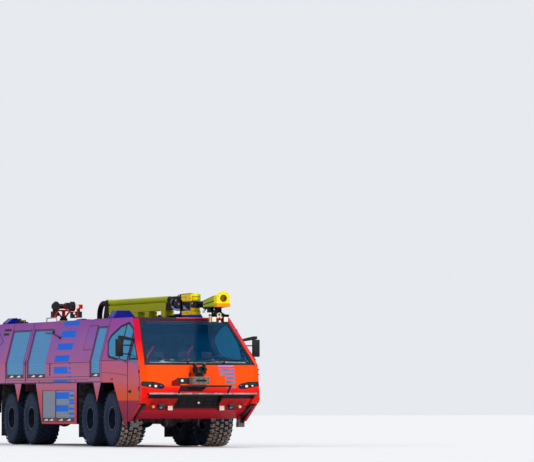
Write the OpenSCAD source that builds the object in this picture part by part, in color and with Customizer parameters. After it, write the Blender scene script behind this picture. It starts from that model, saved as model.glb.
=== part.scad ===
// Eight-wheeled airport fire truck with a telescopic extinguishing boom.
// X forward, Y to the left, Z up, millimetres. The origin is on the ground, midway along the length.

/* [Overall] */
// Reach of the front guard ahead of axle 1
front_reach = 2700; // [2680:10:2900]
// Reach of the tail behind axle 4
tail_reach = 1650; // [1600:10:1800]
// Width of the body
body_w = 3000; // [2980:10:3100]
// Height of the roof
roof_z = 3120; // [3100:5:3130]
// Height of the belt line, above which the sides lean in
belt_z = 2080; // [2040:10:2120]
// Inward lean of the upper sides for each unit of height
side_lean = 0.25; // [0.22:0.01:0.27]
// Height of the body's lower edge over the wheels
skirt_z = 1560; // [1540:5:1600]
// Thickness of the side skins and of the cab walls
wall = 60; // [50:2:66]
// Gap at the seam between two body sections
seam = 12; // [8:1:20]

/* [Wheels] */
// Distance between the two axles of a pair
bogie = 1650; // [1640:10:1700]
// Distance between axles 2 and 3
mid_gap = 4650; // [4600:10:4800]
// Outer diameter of a tyre
tyre_d = 1370; // [1330:10:1380]
// Width of a tyre
tyre_w = 590; // [560:10:600]
// Diameter of the bead seat
rim_d = 560; // [550:5:600]
// Distance between the outer faces of a left and a right tyre
track_out = 2912; // [2900:2:2930]
// Distance from the centre line to a kingpin
kingpin_y = 1000; // [990:5:1010]
// Diameter of a wheel spindle
spindle_d = 150; // [130:2:170]
// Running clearance of a spindle or pin, on the radius
run_gap = 0.05; // [0.03:0.01:0.08]

/* [Chassis] */
// Distance from the centre line to a frame rail's outer face
rail_y = 440; // [420:5:450]
// Height of the rails' upper edge
rail_top = 1180; // [1160:10:1200]
// Height of a rail
rail_h = 280; // [260:10:300]
// Width of a rail's flanges
rail_w = 90; // [80:5:100]
// Diameter of an axle tube
axle_d = 190; // [180:5:200]
// Diameter of a differential housing
diff_d = 460; // [420:10:500]
// Diameter of the hole in a towing eye
eye_d = 60; // [50:2:70]
// Thickness of a towing eye
eye_t = 40; // [30:2:50]

/* [Cab] */
// Rear face of the cab, behind axle 1
cab_back = 620; // [610:5:630]
// Front edge of the roof, ahead of axle 1
roof_front = 1020; // [1000:5:1030]
// Foot of the windscreen, ahead of axle 1
screen_foot = 2280; // [2270:5:2300]
// Height of the windscreen's foot
screen_foot_z = 1960; // [1950:5:1970]
// Foot of the front face, ahead of axle 1
face_foot = 2400; // [2390:5:2420]
// Height of the front face's foot
face_foot_z = 1240; // [1220:5:1250]
// Half width of the flat front at the windscreen's foot
face_y = 1350; // [1330:5:1370]
// Rear edge of the front door, ahead of axle 1
door_back = 1330; // [1325:5:1350]
// Front edge of the front door, ahead of axle 1
door_front = 2150; // [2140:5:2155]
// Lower edge of the front door
door_sill = 620; // [610:5:650]
// Gap behind the door, where it swings past the cab
door_gap = 38; // [36:1:42]
// Thickness of the window panes
glass_t = 12; // [8:1:16]

/* [Body] */
// Front face of the rear section, behind axle 1
rear_section = 8250; // [8240:5:8270]
// Lower edge of the side shutters
shutter_low = 1790; // [1780:5:1850]
// Upper edge of the side shutters
shutter_high = 2900; // [2850:10:2950]
// Depth of the shutter recesses
recess = 34; // [30:1:45]
// Thickness of a shutter
shutter_t = 24; // [18:1:28]
// Height of one slat of a shutter
curtain_pitch = 48; // [40:1:60]
// Lower edge of the lockers between the axle pairs
locker_low = 540; // [520:10:600]

/* [Boom] */
// Distance of the boom from the centre line
boom_y = 600; // [590:5:610]
// Height of the boom's pivot and of its water pipe
pivot_z = 3620; // [3610:5:3640]
// Pivot of the boom, behind axle 1
pivot_back = 6050; // [6040:5:6080]
// Front end of the outer boom, behind axle 1
outer_end = 1550; // [1530:10:1600]
// Diameter of the outer water pipe
pipe_d = 160; // [150:2:164]
// Height of the outer boom's box beam
beam_h = 195; // [185:5:195]
// Width of the outer boom's box beam
beam_w = 220; // [210:5:230]
// Wall of the box beams and pipes
beam_t = 12; // [8:1:14]
// Sliding clearance between the two booms
slide_gap = 3; // [2:0.5:5]
// Tilt axis of the boom's nozzle, ahead of axle 1
tilt_front = 750; // [740:5:760]
// Tip of the boom's nozzle, ahead of axle 1
nozzle_tip = 2250; // [2230:10:2280]

/* [Hidden] */
$fn = 40;

// Place of axle 1, so that guard and tail are equally far from the origin
x1 = (tail_reach + 2 * bogie + mid_gap - front_reach) / 2;
axle_x = [x1, x1 - bogie, x1 - bogie - mid_gap, x1 - 2 * bogie - mid_gap];
x_tail = axle_x[3] - tail_reach;
x_cab = x1 - cab_back;
x_rear = x1 - rear_section;
half_w = body_w / 2;
big = 9000;
hub_z = tyre_d / 2;
tyre_y = (track_out - tyre_w) / 2;
touch = 0.3;

// Half width of the body at height z
function half_at(z) = z < belt_z ? half_w : half_w - side_lean * (z - belt_z);
// Cross section of the body, with its side faces moved in by i
function section(z0, z1, i) = let (b = half_w - i, t = half_at(z1) - i)
  [[-b, z0], [-b, belt_z], [-t, z1], [t, z1], [b, belt_z], [b, z0]];
// Strip of the left side between depths i0 and i1 under its face
function side_strip(z0, z1, i0, i1) = let (b = half_w, t = half_at(z1))
  [[b - i0, z0], [b - i0, belt_z], [t - i0, z1], [t - i1, z1], [b - i1, belt_z], [b - i1, z0]];
// Outline given in distances ahead of axle 1
function ahead(points) = [for (p = points) [x1 + p[0], p[1]]];

// Polygon in Y and Z, swept along X
module along_x(points, xa, xb)
  translate([xa, 0, 0]) rotate([90, 0, 90]) linear_extrude(xb - xa) polygon(points);
// Polygon in X and Z, swept along Y
module along_y(points, ya, yb)
  translate([0, yb, 0]) rotate([90, 0, 0]) linear_extrude(yb - ya) polygon(points);
// Box from its low corner to its high corner
module block(a, b) translate(a) cube(b - a);
module rod_y(x, z, d, ya, yb) translate([x, yb, z]) rotate([90, 0, 0]) cylinder(h = yb - ya, d = d);
module rod_x(y, z, d, xa, xb) translate([xa, y, z]) rotate([0, 90, 0]) cylinder(h = xb - xa, d = d);
module rod_z(x, y, d, za, zb) translate([x, y, za]) cylinder(h = zb - za, d = d);
// Round bar between two points
module bar(a, b, d) {
  v = b - a;
  translate(a) rotate([0, acos(v.z / norm(v)), atan2(v.y, v.x)]) cylinder(h = norm(v), d = d);
}
module both() { children(); mirror([0, 1, 0]) children(); }
// Half space beyond the plane through point p with normal n, moved in by i
module beyond(p, n, i)
  translate(p - i * n / norm(n)) rotate([0, -asin(n.z / norm(n)), atan2(n.y, n.x)])
    translate([0, -big / 2, -big / 2]) cube(big);

// CHASSIS

rail_low = rail_top - rail_h;
web_t = 14;
web_y = rail_y - web_t;
rail_front = x1 + 1330;
rail_rear = x_tail + 150;
cross_d = 120;
cross_x = [x1 + 1100, x1 + 700, x1 - bogie / 2, axle_x[1] - 900, 0, axle_x[2] + 900,
  axle_x[2] - bogie / 2, axle_x[3] - 800, x_tail + 300];
bearer_w = 120;
// Towing eyes: place along X, height of the hole
eyes = [[x1 + 1000, 560], [x_tail + 220, 800]];
module chassis_frame() color([0.10, 0.10, 0.11]) {
  both() {
    along_x([[rail_y - rail_w, rail_low], [rail_y, rail_low], [rail_y, rail_top],
      [rail_y - rail_w, rail_top], [rail_y - rail_w, rail_top - web_t], [web_y, rail_top - web_t],
      [web_y, rail_low + web_t], [rail_y - rail_w, rail_low + web_t]], rail_rear, rail_front);
    for (e = eyes) difference() {
      union() {
        rod_y(e[0], e[1], 2 * eye_d, web_y - eye_t, web_y);
        block([e[0] - eye_d, web_y - eye_t, e[1]], [e[0] + eye_d, web_y, rail_low + rail_h / 2]);
      }
      rod_y(e[0], e[1], eye_d, 0, rail_y);
    }
  }
  for (x = cross_x) difference() {
    rod_y(x, rail_low + rail_h / 2, cross_d, -web_y - 1, web_y + 1);
    rod_y(x, rail_low + rail_h / 2, cross_d - 24, -web_y, web_y);
  }
}
// Cross bearers between the rails and the body
bearer_x = [x1 + 850, x_cab + 130, axle_x[1] - 700, 0, axle_x[2] + 300, x_rear - bearer_w / 2];
module body_bearers() color([0.10, 0.10, 0.11])
  for (x = bearer_x) block([x - bearer_w / 2, -rail_y, rail_top], [x + bearer_w / 2, rail_y, skirt_z]);

// AXLES AND KNUCKLES

boss_d = 150;
boss_h = 230;
kingpin_d = 60;
spring_d = 150;
spring_y = rail_y - rail_w / 2;
spindle_end = tyre_y + 120;
flange_in = kingpin_y + 100;
flange_t = 30;
flange_d = 300;
module axle_body(x, y_end) {
  rod_y(x, hub_z, axle_d, -y_end, y_end);
  translate([x, 0, hub_z]) sphere(d = diff_d);
  both() rod_z(x, spring_y, spring_d, hub_z, rail_low);
}
module steered_axle(x) color([0.12, 0.12, 0.13])
  difference() {
    union() {
      axle_body(x, kingpin_y);
      both() rod_z(x, kingpin_y, boss_d, hub_z - boss_h / 2, hub_z + boss_h / 2);
    }
    both() {
      rod_z(x, kingpin_y, kingpin_d + 2 * run_gap, hub_z - boss_h, hub_z + boss_h);
      block([x - axle_d, kingpin_y + boss_d / 2 - 12, hub_z - axle_d],
        [x + axle_d, kingpin_y + axle_d, hub_z + axle_d]);
    }
  }
module fixed_axle(x) color([0.12, 0.12, 0.13]) {
  axle_body(x, flange_in + 1);
  both() {
    rod_y(x, hub_z, flange_d, flange_in, flange_in + flange_t);
    rod_y(x, hub_z, spindle_d, flange_in, spindle_end);
  }
}
arm_z = boss_h / 2 + 8;
arm_t = 45;
module knuckle(x, s) color([0.16, 0.16, 0.17])
  translate([x, 0, hub_z]) mirror([0, s < 0 ? 1 : 0, 0]) {
    rod_z(0, kingpin_y, kingpin_d, -arm_z - arm_t, arm_z + arm_t);
    for (z = [-arm_z - arm_t, arm_z]) {
      rod_z(0, kingpin_y, boss_d - 20, z, z + arm_t);
      block([-boss_d / 2 + 10, kingpin_y, z], [boss_d / 2 - 10, flange_in + 5, z + arm_t]);
    }
    rod_y(0, 0, 2 * (arm_z + arm_t), flange_in, flange_in + flange_t);
    rod_y(0, 0, spindle_d, flange_in, spindle_end);
  }

// DRIVE LINE

shaft_z = hub_z + 60;
shaft_d = 110;
// Flanges of the propeller shafts: distance from the axle, thickness and diameter
joint_x = 260;
joint_t = 30;
joint_d = 170;
tank_d = 230;
tank_l = 800;
tank_x = [x1 - 3200, x1 - 4200];
module drive_line() color([0.12, 0.12, 0.13]) {
  for (i = [0 : 2]) difference() {
    union() {
      rod_x(0, shaft_z, shaft_d, axle_x[i + 1], axle_x[i]);
      rod_x(0, shaft_z, joint_d, axle_x[i] - joint_x - joint_t, axle_x[i] - joint_x);
      rod_x(0, shaft_z, joint_d, axle_x[i + 1] + joint_x, axle_x[i + 1] + joint_x + joint_t);
    }
    for (x = [axle_x[i], axle_x[i + 1]]) translate([x, 0, hub_z]) sphere(d = diff_d + 2 * touch);
  }
  // air tanks on the outer faces of the rails
  both() for (x = tank_x)
    rod_x(rail_y + touch + tank_d / 2, rail_low + rail_h / 2, tank_d, x - tank_l / 2, x + tank_l / 2);
}

// WHEELS

rim_r = rim_d / 2;
bead = tyre_w / 2 - 40;
lip = 22;
rim_t = 16;
bore_r = spindle_d / 2 + run_gap;
hub_r = bore_r + 75;
hub_in = flange_in + flange_t - tyre_y + 12;
module wheel_at(i, s) translate([axle_x[i], s * tyre_y, hub_z]) rotate([-90 * s, 0, 0]) children();
module tyre(i, s) color([0.10, 0.13, 0.19]) wheel_at(i, s)
  rotate_extrude() polygon([
    [rim_r, -bead], [rim_r + lip + 3, -bead], [rim_r + 150, -tyre_w / 2], [hub_z - 110, -tyre_w / 2],
    [hub_z - 12, -tyre_w / 2 + 45], [hub_z, -tyre_w / 2 + 90],
    [hub_z, tyre_w / 2 - 90], [hub_z - 12, tyre_w / 2 - 45],
    [hub_z - 110, tyre_w / 2], [rim_r + 150, tyre_w / 2], [rim_r + lip + 3, bead], [rim_r, bead]]);
module rim(i, s) color([0.22, 0.27, 0.33]) wheel_at(i, s)
  rotate_extrude() polygon([
    [bore_r, hub_in], [hub_r, hub_in], [hub_r, 55], [rim_r - 60, 78], [rim_r - rim_t, 62],
    [rim_r - rim_t, -bead - rim_t], [rim_r + lip, -bead - rim_t], [rim_r + lip, -bead - touch],
    [rim_r - touch, -bead - touch], [rim_r - touch, bead + touch], [rim_r + lip, bead + touch],
    [rim_r + lip, bead + rim_t], [rim_r - rim_t, bead + rim_t], [rim_r - rim_t, 88],
    [rim_r - 60, 98], [hub_r + 8, 84], [hub_r - 8, 160], [bore_r - 20, 175], [0, 175],
    [0, spindle_end - tyre_y + 6], [bore_r, spindle_end - tyre_y + 6]]);

// ENGINE AND BODY

engine_h = 980;
// Room behind, ahead of and beside the engine
engine_room = [250, 130, 40];
module engine_block() color([0.35, 0.36, 0.38])
  block([x_tail + engine_room[0], -web_y + engine_room[2], rail_top],
    [x_rear - engine_room[1], web_y - engine_room[2], rail_top + engine_h]);

// Shutters: rear and front edge behind axle 1
upper_shutters = [[8160, 6780], [6380, 4970], [1410, 760]];
lower_shutters = [[5270, 4270], [4210, 2740]];
shutter_gap = 8;
// Pointed panels between the two wheels of a side: middle ahead of axle 1, half width, tip height
tooth_mid = [-940, -7200];
tooth_half = 280;
tooth_tip = 1090;
module body_tank() color([0.72, 0.36, 0.62]) difference() {
  along_x(section(skirt_z, roof_z, 0), x_rear + seam, x_cab - seam);
  both() for (s = upper_shutters)
    along_x(side_strip(shutter_low - 90, shutter_high, -50, recess), x1 - s[0], x1 - s[1]);
}
locker_inset = 20;
// Bowed profile of a slat: share of its height and depth under its crown
slat_form = [[0, 8], [0.15, 2], [0.35, 0], [0.65, 0], [0.85, 2]];
// Cross section of a curtain of slats between depths crown and back under the body's side
function curtain(z0, z1, crown, back) =
  let (n = round((z1 - z0) / curtain_pitch), h = (z1 - z0) / n) concat(
    [for (k = [0 : n - 1], c = slat_form) let (z = z0 + h * (k + c[0])) [half_at(z) - crown - c[1], z]],
    [[half_at(z1) - crown - slat_form[0][1], z1], [half_at(z1) - back, z1]],
    z1 > belt_z ? [[half_w - back, belt_z]] : [],
    [[half_at(z0) - back, z0]]);
module side_shutters() color([0.45, 0.66, 0.80]) both() {
  for (s = upper_shutters) {
    along_x(curtain(shutter_low, shutter_high - shutter_gap, recess - shutter_t, recess),
      x1 - s[0] + shutter_gap, x1 - s[1] - shutter_gap);
    block([x1 - s[0] + shutter_gap, half_w - recess, shutter_low - 80],
      [x1 - s[1] - shutter_gap, half_w - 4, shutter_low - 10]);
  }
  for (s = lower_shutters) {
    along_x(curtain(locker_low + 150, locker_low + 830, locker_inset + recess - shutter_t, locker_inset + recess),
      x1 - s[0] + shutter_gap, x1 - s[1] - shutter_gap);
    block([x1 - s[0] + shutter_gap, half_w - locker_inset - recess, locker_low + 70],
      [x1 - s[1] - shutter_gap, half_w - locker_inset - 4, locker_low + 140]);
  }
}
locker_in = 700;
// Lockers: rear and front end behind axle 1, slant of the rear end
locker_back = 5300;
locker_front = 2550;
locker_slant = 500;
module lower_lockers() color([0.66, 0.25, 0.42]) both() {
  difference() {
    along_y(ahead([[-locker_back - locker_slant, skirt_z], [-locker_back, locker_low],
      [-locker_front, locker_low], [-locker_front, skirt_z]]), locker_in, half_w - locker_inset);
    for (s = lower_shutters)
      block([x1 - s[0], half_w - locker_inset - recess, locker_low + 60], [x1 - s[1], half_w, locker_low + 840]);
  }
  for (m = tooth_mid) along_y(ahead([[m - tooth_half, skirt_z], [m, tooth_tip], [m + tooth_half, skirt_z]]),
    half_w - wall, half_w);
}
grille_y = 700;
grille_low = 1750;
grille_high = 2500;
slat_pitch = 75;
module body_rear() color([0.72, 0.34, 0.55]) difference() {
  union() {
    difference() {
      along_x(section(skirt_z, roof_z, 0), x_tail, x_rear);
      along_x(section(skirt_z - 1, roof_z - wall, wall), x_tail + wall, x_rear - wall);
    }
    block([x_tail, -half_w, rail_top + 20], [x_tail + wall, half_w, skirt_z + 1]);
    both() along_y([[x_tail, skirt_z + 1], [x_tail, 1000], [axle_x[3] - 850, 820],
      [axle_x[3] - 805, skirt_z + 1]], half_w - wall, half_w);
  }
  block([x_tail - 1, -grille_y, grille_low], [x_tail + wall + 1, grille_y, grille_high]);
  both() for (z = tail_lamp_z) tail_lamp(z, 1);
}
tail_lamp_z = [1290, 1450];
module tail_lamp(z, out)
  block([x_tail - out, half_w - 180, z], [x_tail + 12, half_w - 60, z + 120]);
module rear_grille() color([0.10, 0.10, 0.12]) {
  difference() {
    block([x_tail + 10, -grille_y, grille_low], [x_tail + wall, grille_y, grille_high]);
    block([x_tail, -grille_y + 30, grille_low + 30], [x_tail + wall + 1, grille_y - 30, grille_high - 30]);
  }
  for (z = [grille_low + 50 : slat_pitch : grille_high - 60])
    along_y([[x_tail + 14, z], [x_tail + 50, z + 45], [x_tail + 50, z + 53], [x_tail + 14, z + 8]],
      -grille_y + 20, grille_y - 20);
}
flap_x = [axle_x[1] - 850, axle_x[3] - 830];
flap_in = 800;
flap_low = 220;
module mud_flaps() color([0.07, 0.08, 0.10]) both()
  for (x = flap_x) block([x, flap_in, flap_low], [x + 10, half_w - wall, skirt_z]);

// CAB

screen_top = [x1 + roof_front, 0, roof_z];
foot = [x1 + screen_foot, 0, screen_foot_z];
face_end = [x1 + face_foot, 0, face_foot_z];
pillar_foot = [x1 + screen_foot, face_y, screen_foot_z];
pillar_top = [x1 + roof_front, half_at(roof_z) - 115, roof_z];
pillar_side = [x1 + door_front + 30, half_w, screen_foot_z];
low_corner = [x1 + face_foot, face_y + 20, face_foot_z];
n_screen = cross([0, 1, 0], screen_top - foot);
n_face = cross([0, 1, 0], foot - face_end);
n_pillar = cross(pillar_side - pillar_foot, pillar_top - pillar_foot);
n_corner = cross(low_corner - pillar_foot, pillar_side - pillar_foot);
// Outer form of the cab, with every face moved in by i
module cab_form(i) difference() {
  along_x(section(300, roof_z - i, i), x_cab + i, x1 + front_reach + 300);
  beyond(foot, n_screen, i);
  beyond(foot, n_face, i);
  both() {
    beyond(pillar_foot, n_pillar, i);
    beyond(pillar_foot, n_corner, i);
  }
}
module cab_skin() difference() { cab_form(0); cab_form(wall); }
// Outlines of door, crew window and door window, ahead of axle 1
door_line = [[door_back, door_sill], [door_back + 90, door_sill], [door_front, 1020],
  [door_front, screen_foot_z - 10], [door_back, 2700]];
door_hole = [[door_back - door_gap, 400], [door_front + 10, 400], [door_front + 10, screen_foot_z - 4],
  [door_back + 8, 2720], [door_back - door_gap, 2720]];
arch_line = [[250, skirt_z], [300, 1507], [1140, 480]];
shell_line = concat([[-cab_back - 10, roof_z + 10], [-cab_back - 10, skirt_z]], arch_line,
  [[door_back - door_gap, 480], [door_back - door_gap, screen_foot_z], [front_reach, screen_foot_z],
  [front_reach, roof_z + 10]]);
crew_window = [[-430, 2570], [-250, 2270], [-110, 2180], [380, 2150], [1250, 2040], [1250, 2800],
  [1150, 2850], [760, 2980], [260, 2890], [-290, 2706]];
door_window = [[door_back + 70, 2050], [door_front - 120, 2000], [door_front - 130, 2010],
  [door_back + 70, 2610]];
screen_low = 60;
screen_high = 90;
screen_edge = 30;
floor_low = 1300;
floor_t = 60;
floor_step = 980;
module cab_floor() {
  b = half_w - wall + 1;
  block([x_cab + wall - 1, -b, skirt_z], [x1 + floor_step + floor_t, b, skirt_z + floor_t]);
  intersection() {
    along_y(ahead([[floor_step, skirt_z + 1], [floor_step, face_foot_z], [face_foot, face_foot_z],
      [face_foot, floor_low], [floor_step + floor_t, floor_low], [floor_step + floor_t, skirt_z + 1]]),
      -half_w + wall + 10, half_w - wall - 10);
    cab_form(wall + touch);
  }
}
// Slab over the windscreen's outline, between two depths under the screen's plane
module screen_slab(grow, d0, d1) {
  v = screen_top - foot;
  l = norm(v);
  a = face_y - screen_edge + grow;
  b = pillar_top.y - screen_edge + grow;
  translate(foot) rotate([0, -atan2(v.z, v.x), 0]) translate([0, 0, d0]) linear_extrude(d1 - d0)
    polygon([[screen_low - grow, -a], [l - screen_high + grow, -b],
      [l - screen_high + grow, b], [screen_low - grow, a]]);
}
module cab_shell() color([0.85, 0.26, 0.30]) {
  shell_skin();
  cab_floor();
}
module shell_skin() difference() {
  intersection() {
    cab_skin();
    along_y(ahead(shell_line), -half_w - 1, half_w + 1);
  }
  both() {
    along_y(ahead(door_hole), half_w - wall * 7, half_w + 1);
    along_y(ahead(crew_window), 1000, half_w + 1);
  }
  screen_slab(0, -50, 2 * wall);
}
// Front lamp clusters: outline in Y and Z, and the lamps' Y, Z and diameter
cluster = [[930, 1440], [960, 1400], [1060, 1385], [1470, 1455], [1500, 1500], [1470, 1570], [1200, 1565],
  [1000, 1520], [940, 1485]];
cluster_lamps = [[1010, 1463, 90], [1152, 1478, 110], [1300, 1495, 110]];
module cab_front() color([0.95, 0.28, 0.05]) {
  cab_face();
  // shelf of the turret
  difference() {
    block([x1 + screen_foot, turret_y - shelf_w / 2, turret_z],
      [turret_x + 110, turret_y + shelf_w / 2, turret_z + shelf_h]);
    cab_form(-touch);
  }
  // fixed halves of the door hinges
  both() for (z = hinge_z) {
    for (h = [-hinge_h, hinge_h / 2]) {
      rod_z(hinge_x, hinge_y, hinge_d, z + h, z + h + hinge_h / 2);
      block([hinge_x, half_w + 6, z + h], [hinge_x + 65, hinge_y + hinge_d / 2, z + h + hinge_h / 2]);
      block([hinge_x + 30, half_w - 1, z + h], [hinge_x + 65, half_w + 7, z + h + hinge_h / 2]);
    }
    rod_z(hinge_x, hinge_y, hinge_pin, z - hinge_h, z + hinge_h);
  }
}
module cab_face() difference() {
  intersection() {
    cab_skin();
    along_y(ahead([[door_front + 16, face_foot_z], [door_front + 16, screen_foot_z - touch],
      [front_reach, screen_foot_z - touch], [front_reach, face_foot_z]]), -half_w - 1, half_w + 1);
  }
  both() along_x(cluster, x1 + door_front + 40, x1 + front_reach);
}
shelf_w = 430;
shelf_h = 182;
// Door hinges: heights of their middles, length of a knuckle, diameters, axis beside the door's face
hinge_z = [1400, 1800];
hinge_h = 80;
hinge_d = 28;
hinge_pin = 16;
hinge_out = 16;
hinge_x = x1 + door_front - 12;
hinge_y = half_w + hinge_out;
// Apron under the front bar: its two folded planes as distance ahead of axle 1 and height
apron_t = 40;
apron = [[face_foot + 10, face_foot_z - touch], [1800, 890], [1190, 684]];
// Black panel set back under the bar: foot and top ahead of axle 1, half width, thickness
panel_foot = 1870;
panel_top = 2110;
panel_y = 570;
panel_t = 20;
panel_z = apron[1].y + (apron[0].y - apron[1].y) * (panel_foot - apron[1].x) / (apron[0].x - apron[1].x);
n_apron = [apron[1].y - apron[0].y, 0, apron[0].x - apron[1].x];
module behind_apron() beyond([x1 + apron[1].x, 0, apron[1].y], n_apron, touch);
apron_y = half_w - 170;
cheek_low = 1040;
step_x = 1320;
step_z = 480;
step_l = 160;
module bumper() color([0.70, 0.08, 0.16]) {
  difference() {
    along_y(ahead([apron[0], apron[1], apron[2], apron[2] + [-10, apron_t],
      apron[1] + [-15, apron_t], apron[0] - [120, 0]]), -apron_y, apron_y);
    along_y(ahead([[panel_foot, panel_z - panel_t], [panel_foot, panel_z], [panel_top, face_foot_z],
      [face_foot + panel_t, face_foot_z], [face_foot + panel_t, panel_z - panel_t]]), -panel_y, panel_y);
  }
  both() {
    intersection() {
      cab_form(0);
      along_y(ahead([[door_front + 16, cheek_low], [door_front + 16, face_foot_z - touch],
        [face_foot, face_foot_z - touch], [face_foot - 130, cheek_low + 40]]), apron_y - 20, half_w + 1);
    }
    // boarding step on its hanger
    block([x1 + step_x, apron_y - 60, step_z], [x1 + step_x + step_l, apron_y + 100, step_z + 100]);
    block([x1 + step_x + 20, apron_y - 60, step_z + 99], [x1 + step_x + step_l - 20, apron_y - 5, step_z + 280]);
  }
}
bar_x = x1 + face_foot + 60;
guard_x = x1 + front_reach - 22;
guard_y = 620;
bar_half = half_w - 130;
guard_z = face_foot_z + 217;
guard_d = 44;
// Black edge strip beside the apron
edge_strip = [[door_front, 985], [door_front, 1035], [1960, 950], [1260, 740], [1180, 684], [1240, 640]];
module front_guard() color([0.06, 0.07, 0.09]) {
  block([x1 + face_foot + touch, -bar_half, face_foot_z], [bar_x + 30, bar_half, face_foot_z + 50]);
  bar([guard_x, -guard_y - guard_d / 2, guard_z], [guard_x, guard_y + guard_d / 2, guard_z], guard_d);
  both() bar([guard_x, guard_y, guard_z], [bar_x, guard_y, face_foot_z + 40], guard_d);
  both() along_y(ahead(edge_strip), apron_y, apron_y + 70);
  // panel under the bar and its cheeks
  along_y(ahead([[panel_foot + touch, panel_z], [panel_foot + panel_t, panel_z],
    [panel_top + panel_t, face_foot_z - touch], [panel_top + touch, face_foot_z - touch]]),
    -panel_y + touch, panel_y - touch);
  both() along_y(ahead([[panel_foot + touch, panel_z], [face_foot - 1, face_foot_z - touch],
    [panel_top + touch, face_foot_z - touch]]), panel_y - panel_t, panel_y - touch);
}
module cab_glass() color([0.05, 0.20, 0.24]) {
  screen_slab(-touch, 6, 6 + glass_t);
  both() intersection() {
    along_y(ahead(crew_window), 1000, half_w + 1);
    difference() { cab_form(10); cab_form(10 + glass_t); }
  }
}
module door_one() {
  difference() {
    intersection() {
      cab_skin();
      along_y(ahead(door_line), 1000, half_w + 1);
    }
    along_y(ahead(door_window), 1000, half_w + 1);
  }
  // moving halves of the hinges
  for (z = hinge_z) difference() {
    union() {
      rod_z(hinge_x, hinge_y, hinge_d, z - hinge_h / 2 + touch, z + hinge_h / 2 - touch);
      block([hinge_x - 70, half_w - 1, z - hinge_h / 2 + touch], [hinge_x, half_w + 10, z + hinge_h / 2 - touch]);
    }
    rod_z(hinge_x, hinge_y, hinge_pin + 2 * run_gap, z - hinge_h, z + hinge_h);
  }
}
module door(s) color([0.85, 0.25, 0.28]) mirror([0, s < 0 ? 1 : 0, 0]) door_one();
module door_glass(s) color([0.05, 0.22, 0.27]) mirror([0, s < 0 ? 1 : 0, 0]) intersection() {
  along_y(ahead(door_window), 1000, half_w + 1);
  difference() { cab_form(10); cab_form(10 + glass_t); }
}
module mirror_pair(s) color([0.06, 0.06, 0.07]) mirror([0, s < 0 ? 1 : 0, 0]) {
  block([x1 + 1380, 1650, 2170], [x1 + 1450, 1840, 2590]);
  for (z = [2230, 2440]) difference() {
    bar([x1 + door_back + 35, half_at(z) - 10, z], [x1 + 1410, 1700, z], 28);
    cab_form(-touch);
  }
}
seat_w = 500;
seat_l = 500;
// Heights over the floor: top of a seat's box, of its cushion and of its back
seat_h = [250, 370, 1010];
// Seats: front edge ahead of axle 1, place across, height of the floor
seat_places = [[1560, 620, floor_low], [1560, 0, floor_low], [1560, -620, floor_low],
  [420, 500, skirt_z + floor_t], [420, -500, skirt_z + floor_t]];
module seats() color([0.12, 0.12, 0.14])
  for (p = seat_places) translate([x1 + p[0], p[1], p[2]]) {
    block([80 - seat_l, -150, 0], [-60, 150, seat_h[0]]);
    block([-seat_l, -seat_w / 2, seat_h[0]], [0, seat_w / 2, seat_h[1]]);
    along_y([[-seat_l, seat_h[1] + 1], [120 - seat_l, seat_h[1] + 1], [20 - seat_l, seat_h[2]],
      [-100 - seat_l, seat_h[2]]], -seat_w / 2, seat_w / 2);
    block([10 - seat_l, -seat_w / 2, seat_h[1] - 10], [100 - seat_l, seat_w / 2, seat_h[1] + 10]);
  }
wheel_y = 620;
// Dashboard: rear and front ahead of axle 1, half width
dash_back = screen_foot - 380;
dash_front = screen_foot - 100;
dash_half = half_w - 200;
column = [x1 + dash_back - 100, wheel_y, screen_foot_z + 70];
module dashboard() color([0.10, 0.11, 0.12]) {
  along_y(ahead([[dash_back, floor_low], [dash_front, floor_low], [dash_front, screen_foot_z - 80],
    [dash_front - 120, screen_foot_z], [dash_back - 20, screen_foot_z - 60],
    [dash_back - 40, screen_foot_z - 160]]), -dash_half, dash_half);
  bar(column + [150, 0, -150], column, 70);
  translate(column) rotate([0, -45, 0]) {
    rotate_extrude() translate([220, 0]) circle(d = 34);
    for (a = [0, 120, 240]) rotate([0, 0, a]) rod_x(0, 0, 26, 0, 215);
  }
}
// Lamps: front clusters, square and round lamps in the apron, tail lamps
square_y = 657;
round_y = 895;
module lamps() color([0.9, 0.9, 0.85]) {
  both() {
    difference() {
      intersection() {
        cab_form(20);
        along_x(cluster, x1 + door_front + 40, x1 + front_reach);
      }
      cab_form(wall + 10);
    }
    for (p = cluster_lamps) rod_x(p[0], p[1], p[2], x1 + 2310, x1 + 2355);
    difference() {
      union() {
        block([x1 + apron[1].x + 50, square_y - 70, 880], [x1 + apron[1].x + 190, square_y + 70, 1025]);
        rod_x(round_y, 1030, 150, x1 + apron[1].x + 150, x1 + apron[1].x + 280);
      }
      behind_apron();
    }
    for (z = tail_lamp_z) tail_lamp(z, 0);
  }
}

// BEACONS AND ROOF

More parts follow.
